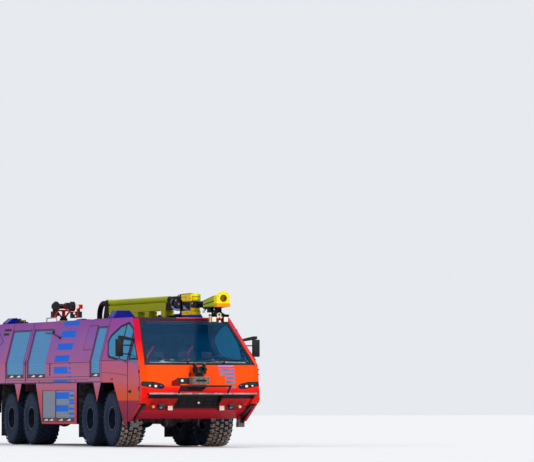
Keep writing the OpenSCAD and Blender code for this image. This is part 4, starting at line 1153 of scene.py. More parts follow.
class TRUCK_OT_shutters(bpy.types.Operator):
    """Marks and buttons on the bottom rails of the roller shutters"""
    bl_idname = "truck.shutters"
    bl_label = "Shutter rails"

    def execute(self, context):
        marks = bmesh.new()
        buttons = bmesh.new()
        rows = [(x0, x1, HALF_W - 0.004, SHUTTER_LOW - 0.079) for x0, x1 in SHUTTERS]
        rows += [(x0, x1, HALF_W - 0.024, LOCKER_LOW + 0.070) for x0, x1 in LOCKERS]
        for side in SIDES.values():
            for x0, x1, y, z in rows:
                rail_marks(marks, x0 + 0.01, x1 - 0.01, y, z, side)
                for x in (x0 + 0.06, x1 - 0.06):
                    stud(buttons, at(x, side * (y - 0.004), z + 0.035), (0.0, side * 0.007, 0.0), 0.014, 12)
        piece("rail_marks", marks, "truck", "shutter", lamp_white())
        piece("rail_buttons", buttons, "truck", "shutter", bare_grey(), smooth=30)
        return {"FINISHED"}


# Blue bars: rear and front edge ahead of axle 1, lower and upper edge
BARS = ((-4.19, -2.96, 2.99, 3.11), (-4.21, -3.08, 2.70, 2.866), (-4.28, -3.09, 2.385, 2.553),
        (-4.26, -3.15, 2.085, 2.252), (-4.29, -3.21, 1.792, 1.967), (-4.34, -3.21, 1.565, 1.642),
        *((-3.15, -2.93, z - 0.022, z + 0.022) for z in (2.04, 1.93, 1.82, 1.71, 1.60)))
# The same on the slats of the lockers
LOW_BARS = ((-4.22, -3.20, 1.164, 1.33), (-4.25, -3.23, 0.852, 1.007),
            *((-3.16, -2.78, z - 0.026, z + 0.026) for z in (1.375, 1.25, 1.13, 1.065, 0.924, 0.797, 0.69)))
# Bars of the front: from and to across, lower and upper edge, finish
FRONT_BARS = ((0.45, 0.84, 1.930, 1.958, 0), (0.46, 0.86, 1.822, 1.878, 1), (0.49, 0.86, 1.722, 1.782, 1),
              (0.62, 0.86, 1.627, 1.687, 1), (0.62, 0.86, 1.522, 1.582, 1), (0.64, 0.86, 1.412, 1.462, 1))


class TRUCK_OT_stripes(bpy.types.Operator):
    """Blue reflective bars of the sides and the front"""
    bl_idname = "truck.stripes"
    bl_label = "Stripes"

    def execute(self, context):
        bm = bmesh.new()
        slat_y = HALF_W - 0.0305
        for side in SIDES.values():
            for x0, x1, z0, z1 in BARS:
                side_patch(bm, x0, x1, z0, z1, side)
            for x0, x1, z0, z1 in LOW_BARS:
                box(bm, (x0, x1), (slat_y, slat_y + 0.002), (z0, z1), side)
        piece("side_bars", bm, "truck", "shutter", stripe_film())
        bm = bmesh.new()
        for y0, y1, z0, z1, index in FRONT_BARS:
            face_plate(bm, ((y0, z0), (y1, z0), (y1, z1), (y0, z1)), 0.001, 0.0015, index)
        piece("front_bars", bm, "truck", "shutter", bar_sky(), bar_blue())
        return {"FINISHED"}


# Outlines of the hatch beside the front shutter and of the rear corner's panel
HATCH = ((-1.47, 2.365), (-2.21, 2.365), (-2.15, 2.96), (-1.47, 2.96))
CORNER_PANEL = ((-9.58, 2.97), (-9.28, 2.84), (-8.90, 2.66), (-9.22, 2.51), (-9.58, 2.40))
# Heights just below and above the belt line, where upright lines are cut
UNDER_BELT, OVER_BELT = BELT_Z - 0.001, BELT_Z + 0.001
# Upright joint lines: ahead of axle 1, width
UPRIGHTS = ((-6.58, 0.030), (-0.634, 0.028), (-8.266, 0.026))
# Level lines: rear and front end ahead of axle 1, height, width
LEVEL_JOINTS = ((-4.90, -1.46, 1.71, 0.012), (-4.90, -1.46, 2.06, 0.012), (-8.24, -1.60, 1.64, 0.009))
LEVEL_FRAMES = ((-9.0, -2.62, 1.574, 0.022), (-2.56, -0.66, 1.574, 0.022))
# Scene lamp's arm: ends ahead of axle 1 and in height, radius, steps
LAMP_ARM = (((-5.51, 2.835), (-4.86, 2.805), 0.010, 8), ((-4.86, 2.805), (-4.20, 2.690), 0.013, 8),
            ((-4.32, 2.710), (-4.18, 2.685), 0.028, 10))


def shutter_frame(lines, frames, x0, x1, front, side):
    """Posts and sills round a roller shutter, with a post in front where asked for."""
    for z0, z1 in ((1.70, UNDER_BELT), (OVER_BELT, 2.930)):
        side_line(frames, [(x0 - 0.026, z0), (x0 - 0.026, z1)], side, 0.050)
        side_line(lines, [(x0 - 0.085, z0), (x0 - 0.085, z1)], side, 0.030)
        if front:
            side_line(frames, [(x1 + 0.014, z0), (x1 + 0.014, z1)], side, 0.022)
    side_line(frames, [(x0 - 0.04, 2.917), (x1 + 0.10, 2.917)], side, 0.032)
    side_line(frames, [(x0 - 0.04, 1.705), (x1 + 0.02, 1.705)], side, 0.014)


class TRUCK_OT_body_trim(bpy.types.Operator):
    """Joint lines, frames, vents and small fittings of the body's sides"""
    bl_idname = "truck.body_trim"
    bl_label = "Body trim"

    def execute(self, context):
        lines = bmesh.new()
        frames = bmesh.new()
        trim = bmesh.new()
        lining = bmesh.new()
        for side in SIDES.values():
            for number, (x0, x1) in enumerate(SHUTTERS):
                shutter_frame(lines, frames, x0, x1, number != 1, side)
            side_line(lines, HATCH, side, 0.014)
            side_line(lines, CORNER_PANEL, side, 0.028)
            side_line(lines, [(-6.60, 1.66), (-6.60, 2.05)], side, 0.085, 0.0025)
            for x, width in UPRIGHTS:
                side_line(lines, [(x, 1.58), (x, UNDER_BELT)], side, width)
                side_line(lines, [(x, OVER_BELT), (x, 3.08)], side, width)
            for z0, z1 in ((2.035, UNDER_BELT), (OVER_BELT, 2.105)):
                side_line(frames, [(-6.60, z0), (-6.60, z1)], side, 0.10)
            for made, rows in ((lines, LEVEL_JOINTS), (frames, LEVEL_FRAMES)):
                for x0, x1, z, width in rows:
                    side_line(made, [(x0, z), (x1, z)], side, width)
            # Dots, vents and round markers
            for z in (1.78, 1.86, 1.94, 2.02):
                rod(trim, on_side(-4.60, z, side, -0.004), on_side(-4.60, z, side, 0.010), 0.034, 8)
            side_patch(trim, -9.00, -8.43, 2.930, 2.985, side, 0.005)
            side_patch(trim, -9.00, -8.55, 2.820, 2.875, side, 0.005)
            for x in (-5.45, -2.60):
                stud(trim, at(x, side * (HALF_W - 0.04), 1.60), (0.0, side * 0.044, 0.0), 0.026)
            # Scene lamp on its arm
            half_depth = Vector((0.0, 0.02, 0.0))
            block(trim, on_side(-4.87, 2.815, side, 0.012) - half_depth,
                  on_side(-4.81, 2.885, side, 0.012) + half_depth)
            for start, end, radius, steps in LAMP_ARM:
                rod(trim, on_side(*start, side, 0.018), on_side(*end, side, 0.018), radius, steps)
            # Dark sheets under the body's floor over the wheels: painted shade on the underside
            for x in ((-9.0, -5.45), (-2.55, 0.22)):
                box(lining, x, (0.50, 1.42), (1.546, 1.554), side)
        piece("joint_lines", lines, "truck", "locker_paint", joint_line())
        piece("shutter_frames", frames, "truck", "black_plastic", navy_trim())
        piece("body_fittings", trim, "truck", "black_plastic", black_trim(), smooth=30)
        piece("arch_lining", lining, "truck", "mud_rubber", mud_rubber())
        return {"FINISHED"}


# Tail face, ahead of axle 1
TAIL = TAIL_X - AXLE_X[0]


class TRUCK_OT_rear(bpy.types.Operator):
    """Rear lamps, reflectors, grab handles and lines"""
    bl_idname = "truck.rear"
    bl_label = "Rear fittings"

    def execute(self, context):
        lenses = bmesh.new()
        black = bmesh.new()
        lines = bmesh.new()
        bars = bmesh.new()
        frame_x = (TAIL - 0.006, TAIL + 0.004)
        line_x = (TAIL - 0.002, TAIL + 0.001)
        for s in SIDES.values():
            for z, index in ((1.29, 0), (1.45, 1)):
                box(lenses, (TAIL - 0.004, TAIL + 0.010), (1.325, 1.435), (z + 0.006, z + 0.114), s, index)
                stud(lenses, at(TAIL - 0.006, s * 1.38, z + 0.06), (0.0035, 0.0, 0.0), 0.042, 24, 1 - index)
            for z in (1.275, 1.572):
                box(black, (TAIL - 0.012, TAIL - 0.0005), (1.30, 1.46), (z, z + 0.015), s)
            for z in (1.75, 2.1, 2.45):
                for y in (1.02, 1.32):
                    bar(black, (TAIL - 0.05, s * y, z), (TAIL + 0.002, s * y, z), 0.010)
                bar(black, (TAIL - 0.05, s * 1.01, z), (TAIL - 0.05, s * 1.33, z), 0.014)
            box(black, frame_x, (0.705, 0.74), (1.71, 2.54), s)
        for z in (1.71, 2.505):
            box(black, frame_x, (-0.74, 0.74), (z, z + 0.035))
        for z in (1.60, 2.70):
            box(lines, line_x, (-0.95, 0.95), (z, z + 0.012))
        for y in (-0.95, 0.938):
            box(lines, line_x, (y, y + 0.012), (1.60, 2.712))
        for k in range(7):
            y = -1.20 + 0.4 * k
            corners = ((y - 0.16, 1.42), (y - 0.02, 1.42), (y + 0.12, 1.56), (y - 0.02, 1.56))
            plate(bars, [at(TAIL - 0.0005, *corner) for corner in corners], (-0.002, 0.0, 0.0))
        piece("rear_lenses", lenses, "truck", "beacon_lens", lens_red(), lens_amber(), bevel=0.002)
        piece("rear_fittings", black, "truck", "black_plastic", black_trim(), smooth=30)
        piece("rear_door_lines", lines, "truck", "locker_paint", joint_line())
        piece("rear_bars", bars, "truck", "shutter", stripe_film())
        return {"FINISHED"}


# Cab


# Glass outlines: distance ahead of axle 1 and height
CREW_WINDOW = ((-0.43, 2.57), (-0.25, 2.27), (-0.11, 2.18), (0.38, 2.15), (1.25, 2.04), (1.25, 2.80),
               (1.15, 2.85), (0.76, 2.98), (0.26, 2.89), (-0.29, 2.706))
DOOR_WINDOW = ((1.372, 2.100), (2.075, 2.086), (1.372, 2.655))
# Posts in the crew window and behind the door
PANE_POST = ((0.60, 2.13), (0.66, 2.12), (0.66, 2.955), (0.60, 2.935))
DOOR_POST = ((1.255, 2.10), (1.288, 2.10), (1.288, 2.76), (1.255, 2.80))
# Wipers: pivot and tip, each across and up the windscreen
WIPERS = (((0.62, 0.075), (-0.62, 0.115)), ((-0.30, 0.085), (0.92, 0.150)))


def grown(outline, by):
    """Outline of a convex window, pushed outwards from its middle."""
    mid = Vector((sum(x for x, z in outline), sum(z for x, z in outline))) / len(outline)
    moved = []
    for x, z in outline:
        away = Vector((x, z)) - mid
        moved.append(tuple(mid + away * (1 + by / away.length)))
    return moved


class TRUCK_OT_cab_trim(bpy.types.Operator):
    """Window frames, door lines, handles and wipers"""
    bl_idname = "truck.cab_trim"
    bl_label = "Cab trim"

    def execute(self, context):
        top = (GLASS_TOP - GLASS_FOOT).length - 0.040
        screen = ((-1.400, 0.006), (1.400, 0.006), (1.120, top), (-1.120, top))
        borders = bmesh.new()
        lines = bmesh.new()
        rim_of(borders, [on_screen(y, up, 0.0005) for y, up in screen], 0.065, GLASS_OUT * 0.003)
        for side in SIDES.values():
            out = (0.0, side * 0.003, 0.0)
            window = grown(CREW_WINDOW, 0.045)
            rim_of(borders, [on_side(x, z, side, 0.0005) for x, z in window], 0.048, out)
            side_plate(borders, PANE_POST, side, -0.006, -0.003)
            side_plate(borders, DOOR_POST, side, 0.001, 0.003)
            side_line(lines, [(-0.60, 1.80), (0.20, 1.78), (1.28, 1.72)], side, 0.010)
            side_line(lines, [(-0.60, 2.088), (1.28, 2.088)], side, 0.014)
            box(lines, (0.10, 0.22), (1.498, 1.512), (1.62, 1.65), side)
        piece("window_borders", borders, "truck", "black_plastic", black_trim())
        piece("cab_joint_lines", lines, "truck", "locker_paint", joint_line())
        inner = half_at(2.57) + 0.004
        arm = ((inner, 2.535), (1.70, 2.585), (1.77, 2.600), (1.77, 2.668), (1.68, 2.668), (inner, 2.600))
        for word, side in SIDES.items():
            bm = bmesh.new()
            out = (0.0, side * 0.003, 0.0)
            rim_of(bm, [on_side(x, z, side, 0.0005) for x, z in DOOR_WINDOW], 0.040, out)
            plate(bm, [at(1.39, side * y, z) for y, z in arm], (0.05, 0.0, 0.0))
            box(bm, (1.42, 1.56), (1.499, 1.520), (1.30, 1.36), side)
            bar(bm, (1.44, side * 1.53, 1.345), (1.54, side * 1.53, 1.345), 0.010)
            piece(f"door_trim_{word}", bm, f"door_{word}", "black_plastic", black_trim(), smooth=30)
        wipers = bmesh.new()
        for pivot, tip in WIPERS:
            a, b = on_screen(*pivot, 0.028), on_screen(*tip, 0.028)
            rod(wipers, on_screen(*pivot, -0.008), on_screen(*pivot, 0.045), 0.022, 14)
            rod(wipers, a, b, 0.010, 8)
            blade = (b - a).normalized() * 0.44
            rod(wipers, b - blade, b + blade * 0.6, 0.013, 8)
            rod(wipers, b - blade - GLASS_OUT * 0.014, b + blade * 0.6 - GLASS_OUT * 0.014, 0.007, 8)
        piece("wipers", wipers, "truck", "black_plastic", black_trim(), smooth=30)
        return {"FINISHED"}


# Lamps of one front cluster, from the outside inwards: across, height, radius, finish
CLUSTER = ((1.300, 1.495, 0.055, 0), (1.152, 1.478, 0.055, 0), (1.010, 1.463, 0.045, 1))
CLUSTER_PLATE = ((0.930, 1.440), (0.960, 1.400), (1.060, 1.385), (1.352, 1.435), (1.352, 1.567),
                 (1.200, 1.565), (1.000, 1.520), (0.940, 1.485))


class TRUCK_OT_front_lamps(bpy.types.Operator):
    """Headlamp clusters, flashers and the lamps in the apron"""
    bl_idname = "truck.front_lamps"
    bl_label = "Front lamps"

    def execute(self, context):
        black = bmesh.new()
        glow = bmesh.new()
        out = FACE_OUT.to_track_quat("Z", "Y").to_matrix().to_4x4()
        for s in SIDES.values():
            face_plate(black, [(s * y, z) for y, z in CLUSTER_PLATE], -0.016, -0.006)
            for y, z, r, index in CLUSTER:
                turned = Matrix.Translation(on_face(s * y, z, -0.016)) @ out
                rim = [(r, 0.0), (r + 0.010, 0.002), (r + 0.010, 0.016), (r, 0.018), (r - 0.004, 0.008)]
                lathe(black, rim, turned, 32)
                lens = [(0.0, 0.013), (r * 0.5, 0.011), (r * 0.85, 0.006), (r - 0.003, 0.001)]
                lathe(glow, lens, turned, 32, index)
            box(glow, (1.991, 1.996), (0.657 - 0.060, 0.657 + 0.060), (0.952 - 0.066, 0.952 + 0.040), s)
            flasher = on_apron(s * 1.10, 2.00)
            rod(glow, flasher - Vector((0.02, 0.0, 0.0)), flasher + Vector((0.050, 0.0, -0.038)),
                0.034, index=2)
            # Outermost small lamp, set in the cluster's rounded end
            bar(glow, (2.12, s * 1.440, 1.512), (2.21, s * 1.440, 1.512), 0.034, 24)
        piece("cluster_housings", black, "truck", "black_plastic", black_trim(), smooth=40)
        piece("lamp_lenses", glow, "truck", "lamp_lens", lamp_white(), lens_blue(), lens_amber(), smooth=40)
        return {"FINISHED"}


# Dark plates on the front panel, then the facet beside the turret, dark red as painted shade in its recess,
# and the field inside the guard
FACE_PLATES = (((-0.18, 1.462), (0.08, 1.462), (0.04, 1.410), (-0.14, 1.410)),
               ((-0.62, 1.655), (-0.31, 1.655), (-0.31, 1.512), (-0.60, 1.512)),
               ((-0.308, 1.760), (-0.262, 1.800), (-0.262, 1.505), (-0.308, 1.505)))
FACET = ((-0.56, 1.655), (-0.75, 1.575), (-0.76, 1.465), (-0.53, 1.462), (-0.53, 1.600))
FIELD = ((-0.53, 1.458), (0.15, 1.458), (0.00, 1.335), (-0.57, 1.335))


class TRUCK_OT_front_details(bpy.types.Operator):
    """Black panel of the apron, bar trims with a grey painted highlight on the bar's top, and the recess
    beside the turret in dark red painted shade
    """
    bl_idname = "truck.front_details"
    bl_label = "Front details"

    def execute(self, context):
        black = bmesh.new()
        fields = bmesh.new()
        lamps = bmesh.new()
        cap = bmesh.new()
        for outline in FACE_PLATES:
            face_plate(black, outline, 0.003, 0.004)
        tilt = Vector((0.8, 0.0, -0.6))
        # Black round lamps, each with a small grey disc in front, a painted highlight
        for s in SIDES.values():
            here = on_apron(s * 0.895, 1.97)
            rod(black, here - tilt * 0.05, here + tilt * 0.045, 0.086, 28)
            rod(black, here + tilt * 0.045, here + tilt * 0.052, 0.040, 24, index=1)
        # Upright and level ribs of the panel set back under the bar
        for k in range(5):
            y = -0.44 + 0.22 * k
            bar(black, (1.931, y, 0.965), (2.100, y, 1.195), 0.008, 8)
        for k in range(3):
            z = 1.00 + 0.085 * k
            x = 1.893 + 0.24 * (z - 0.93) / 0.31
            bar(black, (x, -0.50, z), (x, 0.50, z), 0.007, 8)
        # The facet beside the turret is dark red, painted shade in the recess
        for index, outline in enumerate((FACET, FIELD)):
            face_plate(fields, outline, 0.001, 0.0015, index)
        bar(lamps, (2.000, 0.056, 1.076), (2.022, 0.056, 1.064), 0.028)
        rod(lamps, on_face(-0.49, 1.585), on_face(-0.49, 1.585, 0.03), 0.032)
        # Grey painted highlight along the top edge and lip of the black bar
        box(cap, (2.415, 2.492), (-1.36, 1.36), (1.290, 1.299))
        box(cap, (2.488, 2.494), (-1.36, 1.36), (1.262, 1.299))
        piece("apron_details", black, "truck", "black_plastic", black_trim(), bare_grey(), smooth=30)
        piece("front_facets", fields, "truck", "bumper_paint", recess_paint(), maroon_paint())
        piece("small_lamps", lamps, "truck", "lamp_lens", lamp_white(), smooth=30)
        piece("bar_cap", cap, "truck", "shutter", bare_grey(), bevel=0.002)
        return {"FINISHED"}


class TRUCK_OT_turret(bpy.types.Operator):
    """Finer parts of the front turret: shelf, motors, rings and hoses"""
    bl_idname = "truck.turret"
    bl_label = "Front turret"

    def execute(self, context):
        x, y, z = TURRET
        bolts = bmesh.new()
        arm = bmesh.new()
        grey = bmesh.new()
        rings = bmesh.new()
        for dy in (-0.18, -0.06, 0.06, 0.18):
            for height in (1.64, 1.54):
                bar(bolts, (2.584, y + dy, height), (2.592, y + dy, height), 0.012, 12)
        box(bolts, (2.584, 2.590), (y - 0.13, y + 0.13), (1.565, 1.615))
        for s in SIDES.values():
            bar(arm, (x - 0.01, y + s * 0.126, 1.80), (x - 0.01, y + s * 0.150, 1.80), 0.032)
            stud(arm, at(x + 0.045, y + s * 0.120, 1.775), (0.0, 0.0, 0.210), 0.020, 16)
            stud(grey, at(x + 0.045, y + s * 0.120, 1.985), (0.0, 0.0, 0.019), 0.014, 12)
        box(arm, (x - 0.02, x + 0.045), (y + 0.126, y + 0.152), (1.775, 1.83))
        # Dial on the left, hand wheel on the right
        bar(grey, (x - 0.005, y + 0.150, z), (x - 0.005, y + 0.158, z), 0.026)
        wheel = at(x + 0.005, y - 0.152, z)
        lathe(arm, band(0.042, 0.052, -0.005, 0.005),
              Matrix.Translation(wheel) @ Matrix.Rotation(math.pi / 2, 4, "X"), 32)
        for spot in around(wheel, 0.046, turns(3, 0.4), across=(1.0, 0.0, 0.0)):
            rod(arm, at(x + 0.005, y - 0.135, z), spot, 0.005, 8)
        for spot in around(at(x, y, 1.731), 0.088, turns(8), (1.0, 0.0, 0.0), (0.0, 1.0, 0.0)):
            stud(grey, spot, (0.0, 0.0, 0.008), 0.006, 6)
        # Valve blocks above and beside the nozzle, with their caps
        box(arm, (x - 0.050, x + 0.020), (y - 0.155, y - 0.088), (1.925, 2.015))
        box(arm, (x - 0.050, x + 0.025), (y + 0.088, y + 0.150), (1.925, 1.985))
        for dy, foot in ((-0.14, 2.015), (-0.105, 2.015), (0.118, 1.985)):
            stud(grey, at(x - 0.015, y + dy, foot), (0.0, 0.0, 0.018), 0.012, 12)
        bar(grey, (x + 0.021, y - 0.122, 1.965), (x + 0.029, y - 0.122, 1.965), 0.018, 12)
        bar(grey, (x + 0.026, y + 0.118, 1.955), (x + 0.033, y + 0.118, 1.955), 0.016, 12)
        for dx, r in ((0.045, 0.062), (0.085, 0.062), (0.130, 0.079)):
            stud(rings, at(x + dx, y, z), (0.012, 0.0, 0.0), r, 28)
        bar(rings, (x + 0.02, y, z + 0.050), (x + 0.02, y, z + 0.090), 0.026, 16)
        piece("shelf_bolts", bolts, "truck", "turret_paint", black_trim(), smooth=30)
        piece("turret_motors", arm, "turret_arm", "turret_paint", black_trim(), smooth=35, bevel=0.0015)
        piece("turret_caps", grey, "turret_arm", "turret_paint", bare_grey(), smooth=30)
        for word, s, height in (("left", 1, 1.775), ("right", -1, 1.780)):
            route = ((x - 0.01, y + s * 0.140, 1.80), (x + 0.05, y + s * 0.145, height),
                     (x + 0.06, y + s * 0.12, 1.742), (x + 0.02, y + s * 0.09, 1.725))
            pipe(f"turret_hose_{word}", route, 0.009, "turret_arm", hose_rubber())
        piece("turret_rings", rings, "turret_nozzle", "mechanism_paint", bare_grey(), smooth=35)
        return {"FINISHED"}


class TRUCK_OT_mirrors(bpy.types.Operator):
    """Rounded mirror housings with their glasses"""
    bl_idname = "truck.mirrors"
    bl_label = "Mirrors"

    def execute(self, context):
        for word, s in SIDES.items():
            bm = bmesh.new()
            box(bm, (1.381, 1.449), (1.652, 1.838), (2.172, 2.588), s)
            bmesh.ops.recalc_face_normals(bm, faces=bm.faces)
            bmesh.ops.bevel(bm, geom=list(bm.edges), offset=0.020, affect="EDGES", segments=3, profile=0.5,
                            material=-1)
            for z in (2.23, 2.44):
                bar(bm, (1.367, s * (half_at(z) + 0.003), z), (1.41, s * 1.70, z), 0.014, 14)
            for z in ((2.40, 2.572), (2.19, 2.385)):
                box(bm, (1.376, 1.384), (1.668, 1.822), z, s, 1)
            piece(f"mirror_housing_{word}", bm, f"door_{word}", "black_plastic", black_trim(), mirror_face(),
                  replaces=(f"mirror_{word}",), smooth=35)
        return {"FINISHED"}


# Interior


def pad_form(low, high, lean=0.0):
    """Crowned block with rounded edges, a little smaller than the pad it becomes."""
    bm = bmesh.new()
    inset = Vector((0.010, 0.010, 0.006))
    low, high = Vector(low) + inset, Vector(high) - inset
    block(bm, low, high)
    bmesh.ops.subdivide_edges(bm, edges=bm.edges, cuts=7, use_grid_fill=True)
    mid, half = (low + high) / 2, (high - low) / 2
    for v in bm.verts:
        u = Vector([(v.co[k] - mid[k]) / half[k] for k in range(3)])
        for k in range(3):
            pull = 1 - 0.05 * (abs(u[(k + 1) % 3]) ** 4 + abs(u[(k + 2) % 3]) ** 4)
            v.co[k] = mid[k] + u[k] * half[k] * pull
        v.co.x += lean * (v.co.z - low.z)
    bmesh.ops.recalc_face_normals(bm, faces=bm.faces)
    return bm


def settle(carrier):
    """Applies the modifiers of an object into its own mesh."""
    shown = carrier.evaluated_get(bpy.context.evaluated_depsgraph_get())
    carrier.data = bpy.data.meshes.new_from_object(shown)
    carrier.modifiers.clear()


def blow_up(carrier, cap):
    """Remeshes a pad and blows it up by cloth pressure, no vertex further than the cap."""
    remesh = carrier.modifiers.new("remesh", "REMESH")
    remesh.mode = "VOXEL"
    remesh.voxel_size = 0.006
    settle(carrier)
    rest = [v.co.copy() for v in carrier.data.vertices]
    cloth = carrier.modifiers.new("cloth", "CLOTH")
    cloth.settings.use_pressure = True
    cloth.settings.uniform_pressure_force = 4.0
    cloth.settings.effector_weights.gravity = 0.0
    cloth.settings.quality = 5
    for number in range(1, 21):
        bpy.context.scene.frame_set(number)
    settle(carrier)
    bpy.context.scene.frame_set(1)
    for v, before in zip(carrier.data.vertices, rest):
        moved = v.co - before
        if moved.length > cap:
            v.co = before + moved.normalized() * cap


def swollen(name, low, high, lean=0.0, cap=0.010):
    """Mesh of a pad, blown up in full runs, with its channels pressed in afterwards."""
    form = bpy.data.meshes.new(name + "_form")
    bm = pad_form(low, high, lean)
    bm.to_mesh(form)
    bm.free()
    carrier = bpy.data.objects.new(name + "_form", form)
    bpy.context.scene.collection.objects.link(carrier)
    blow_up(carrier, cap)
    mesh = carrier.data
    bpy.data.objects.remove(carrier)
    low, high = Vector(low), Vector(high)
    mid, half = (low + high) / 2, (high - low) / 2
    for v in mesh.vertices:
        across = (v.co.y - mid.y) / half.y
        press = 0.010 * math.exp(-((abs(across) - 0.58) / 0.030) ** 2)
        if lean:
            v.co.x -= press * max(0.0, (v.co.x - mid.x - lean * (v.co.z - low.z)) / half.x)
        else:
            v.co.z -= press * max(0.0, (v.co.z - mid.z) / half.z)
    return mesh


# Pads of a seat, from its front edge and the floor: name, low and high corner, lean, most swelling, fill
PADS = (("seat_cushion", (-0.50, -0.245, 0.255), (-0.005, 0.245, 0.369), 0.0, 0.010, 0.7),
        ("seat_back", (-0.488, -0.235, 0.375), (-0.385, 0.235, 0.80), -0.155, 0.010, 0.6),
        ("head_rest", (-0.558, -0.14, 0.83), (-0.47, 0.14, 1.00), -0.12, 0.006, 0.7))
# Seats: front edge ahead of axle 1, place across, floor height
SEATS = ((1.56, 0.62, 1.30), (1.56, 0.0, 1.30), (1.56, -0.62, 1.30), (0.42, 0.50, 1.62), (0.42, -0.50, 1.62))
# Upper edge of the mat on the dashboard: across, height
MAT_TOP = ((-1.20, 2.040), (-0.98, 2.030), (-0.86, 2.085), (-0.74, 2.050), (-0.62, 2.110), (-0.48, 2.040),
           (-0.20, 2.030), (0.05, 2.045), (0.30, 2.060), (0.55, 2.062), (0.80, 2.050), (1.05, 2.040),
           (1.22, 2.045))
# Boxes on the dashboard: place across, width
DASH_BOXES = ((0.62, 0.36), (0.0, 0.42), (-0.55, 0.30))


class TRUCK_OT_interior(bpy.types.Operator):
    """Seats, belts and dashboard as they show through the glass"""
    bl_idname = "truck.interior"
    bl_label = "Interior"

    def execute(self, context):
        forms = [(name, swollen(name, *shape), fill) for name, *shape, fill in PADS]
        for number, (x, y, z) in enumerate(SEATS, 1):
            for name, form, fill in forms:
                bm = bmesh.new()
                bm.from_mesh(form)
                bmesh.ops.translate(bm, verts=bm.verts, vec=at(x, y, z))
                made = piece(f"{name}_{number}", bm, "truck", "seat_fabric", seat_cloth(), smooth=60)
            base = bmesh.new()
            box(base, (x - 0.42, x - 0.06), (y - 0.15, y + 0.15), (z + 0.001, z + 0.25))
            box(base, (x - 0.46, x - 0.04), (y - 0.20, y + 0.20), (z + 0.22, z + 0.256))
            for dy in (-0.06, 0.06):
                bar(base, (x - 0.53, y + dy, z + 0.78), (x - 0.54, y + dy, z + 0.86), 0.008, 10)
            piece(f"seat_base_{number}", base, "truck", "black_plastic", black_trim(), bevel=0.006,
                  replaces=("seats",) if number == 1 else ())
            belt = bmesh.new()
            strap = ((-0.40, 0.15, 0.82), (-0.40, 0.105, 0.82),
                     (-0.345, -0.20, 0.395), (-0.345, -0.155, 0.395))
            plate(belt, [at(x + dx, y + dy, z + dz) for dx, dy, dz in strap], (0.004, 0.0, 0.0))
            piece(f"seat_belt_{number}", belt, "truck", "seat_fabric", belt_red())
        mat = bmesh.new()
        shelf = ((1.90, -1.28, 1.905), (2.055, -1.28, 1.965), (2.055, 1.28, 1.965), (1.90, 1.28, 1.905))
        plate(mat, [at(*corner) for corner in shelf], (0.0, 0.0, 0.012))
        mat_foot = 1.975
        foot = [at(2.13, y, mat_foot) for y in (1.24, -1.22)]
        plate(mat, foot + [at(2.11 - (z - mat_foot) * 0.9, y, z) for y, z in MAT_TOP], (-0.006, 0.0, 0.0))
        piece("dash_top", mat, "truck", "black_plastic", dash_mat())
        boxes = bmesh.new()
        for y, wide in DASH_BOXES:
            half = wide / 2
            box(boxes, (1.90, 2.02), (y - half, y + half), (1.92, 2.02))
            box(boxes, (1.868, 1.885), (y - half + 0.02, y + half - 0.02), (1.79, 1.87), index=1)
        # Rear partition and roof lining
        box(boxes, (-0.54, -0.40), (-0.80, 0.80), (1.63, 2.75))
        box(boxes, (-0.10, 0.95), (-1.10, 1.10), (2.96, 3.04))
        piece("dash_boxes", boxes, "truck", "black_plastic", dash_plastic(), lens_blue(), bevel=0.008)
        return {"FINISHED"}


# Roof and boom


# Rings of the boom's swivel: ahead of axle 1, radius
SWIVEL_RINGS = ((-1.236, 0.118), (-1.116, 0.118), (-0.94, 0.100), (-0.66, 0.110))
# Valves and brackets behind the flange: ahead of axle 1, from the boom's middle, height
VALVES = (((-0.92, -0.68), (-0.105, 0.105), (3.44, 3.60)), ((-0.66, -0.46), (-0.135, -0.060), (3.40, 3.52)),
          ((-0.62, -0.42), (0.055, 0.125), (3.38, 3.56)))
# Round spots on the right, white painted highlights and a plum painted reflection: ahead of axle 1, from the
# boom's middle, height, radius, finish
PAINTED_GLINTS = ((-0.80, -0.112, 3.575, 0.022, 0), (-0.50, -0.142, 3.475, 0.020, 0), (0.50, -0.163, 3.475, 0.020, 0),
          (-0.66, -0.112, 3.50, 0.026, 1))
# Hoses along the head: from the boom's middle, height
HOSES = ((-0.09, 3.715), (-0.04, 3.722), (0.07, 3.718))
# Brackets between the nozzle and the lamp bar: ahead of axle 1, from the boom's middle, height
BRACKETS = (((1.34, 1.62), (-0.085, -0.015), (3.235, 3.345)), ((1.66, 1.88), (0.010, 0.090), (3.225, 3.365)),
            ((1.86, 1.96), (-0.110, -0.040), (3.175, 3.290)))
# Hoses to the lamp bar: from the boom's middle, height of the bend
LAMP_HOSES = ((-0.05, 3.20), (0.05, 3.19), (0.12, 3.21))


def boom_box(bm, x, y, z, index=0):
    """Box whose range across is measured from the boom's middle."""
    box(bm, x, (BOOM_Y + y[0], BOOM_Y + y[1]), z, index=index)


def boom_bar(bm, start, end, radius, steps=20, index=0):
    """Round bar whose ends are given ahead of axle 1, from the boom's middle and in height."""
    off = Vector((0.0, BOOM_Y, 0.0))
    rod(bm, at(*start) + off, at(*end) + off, radius, steps, index)


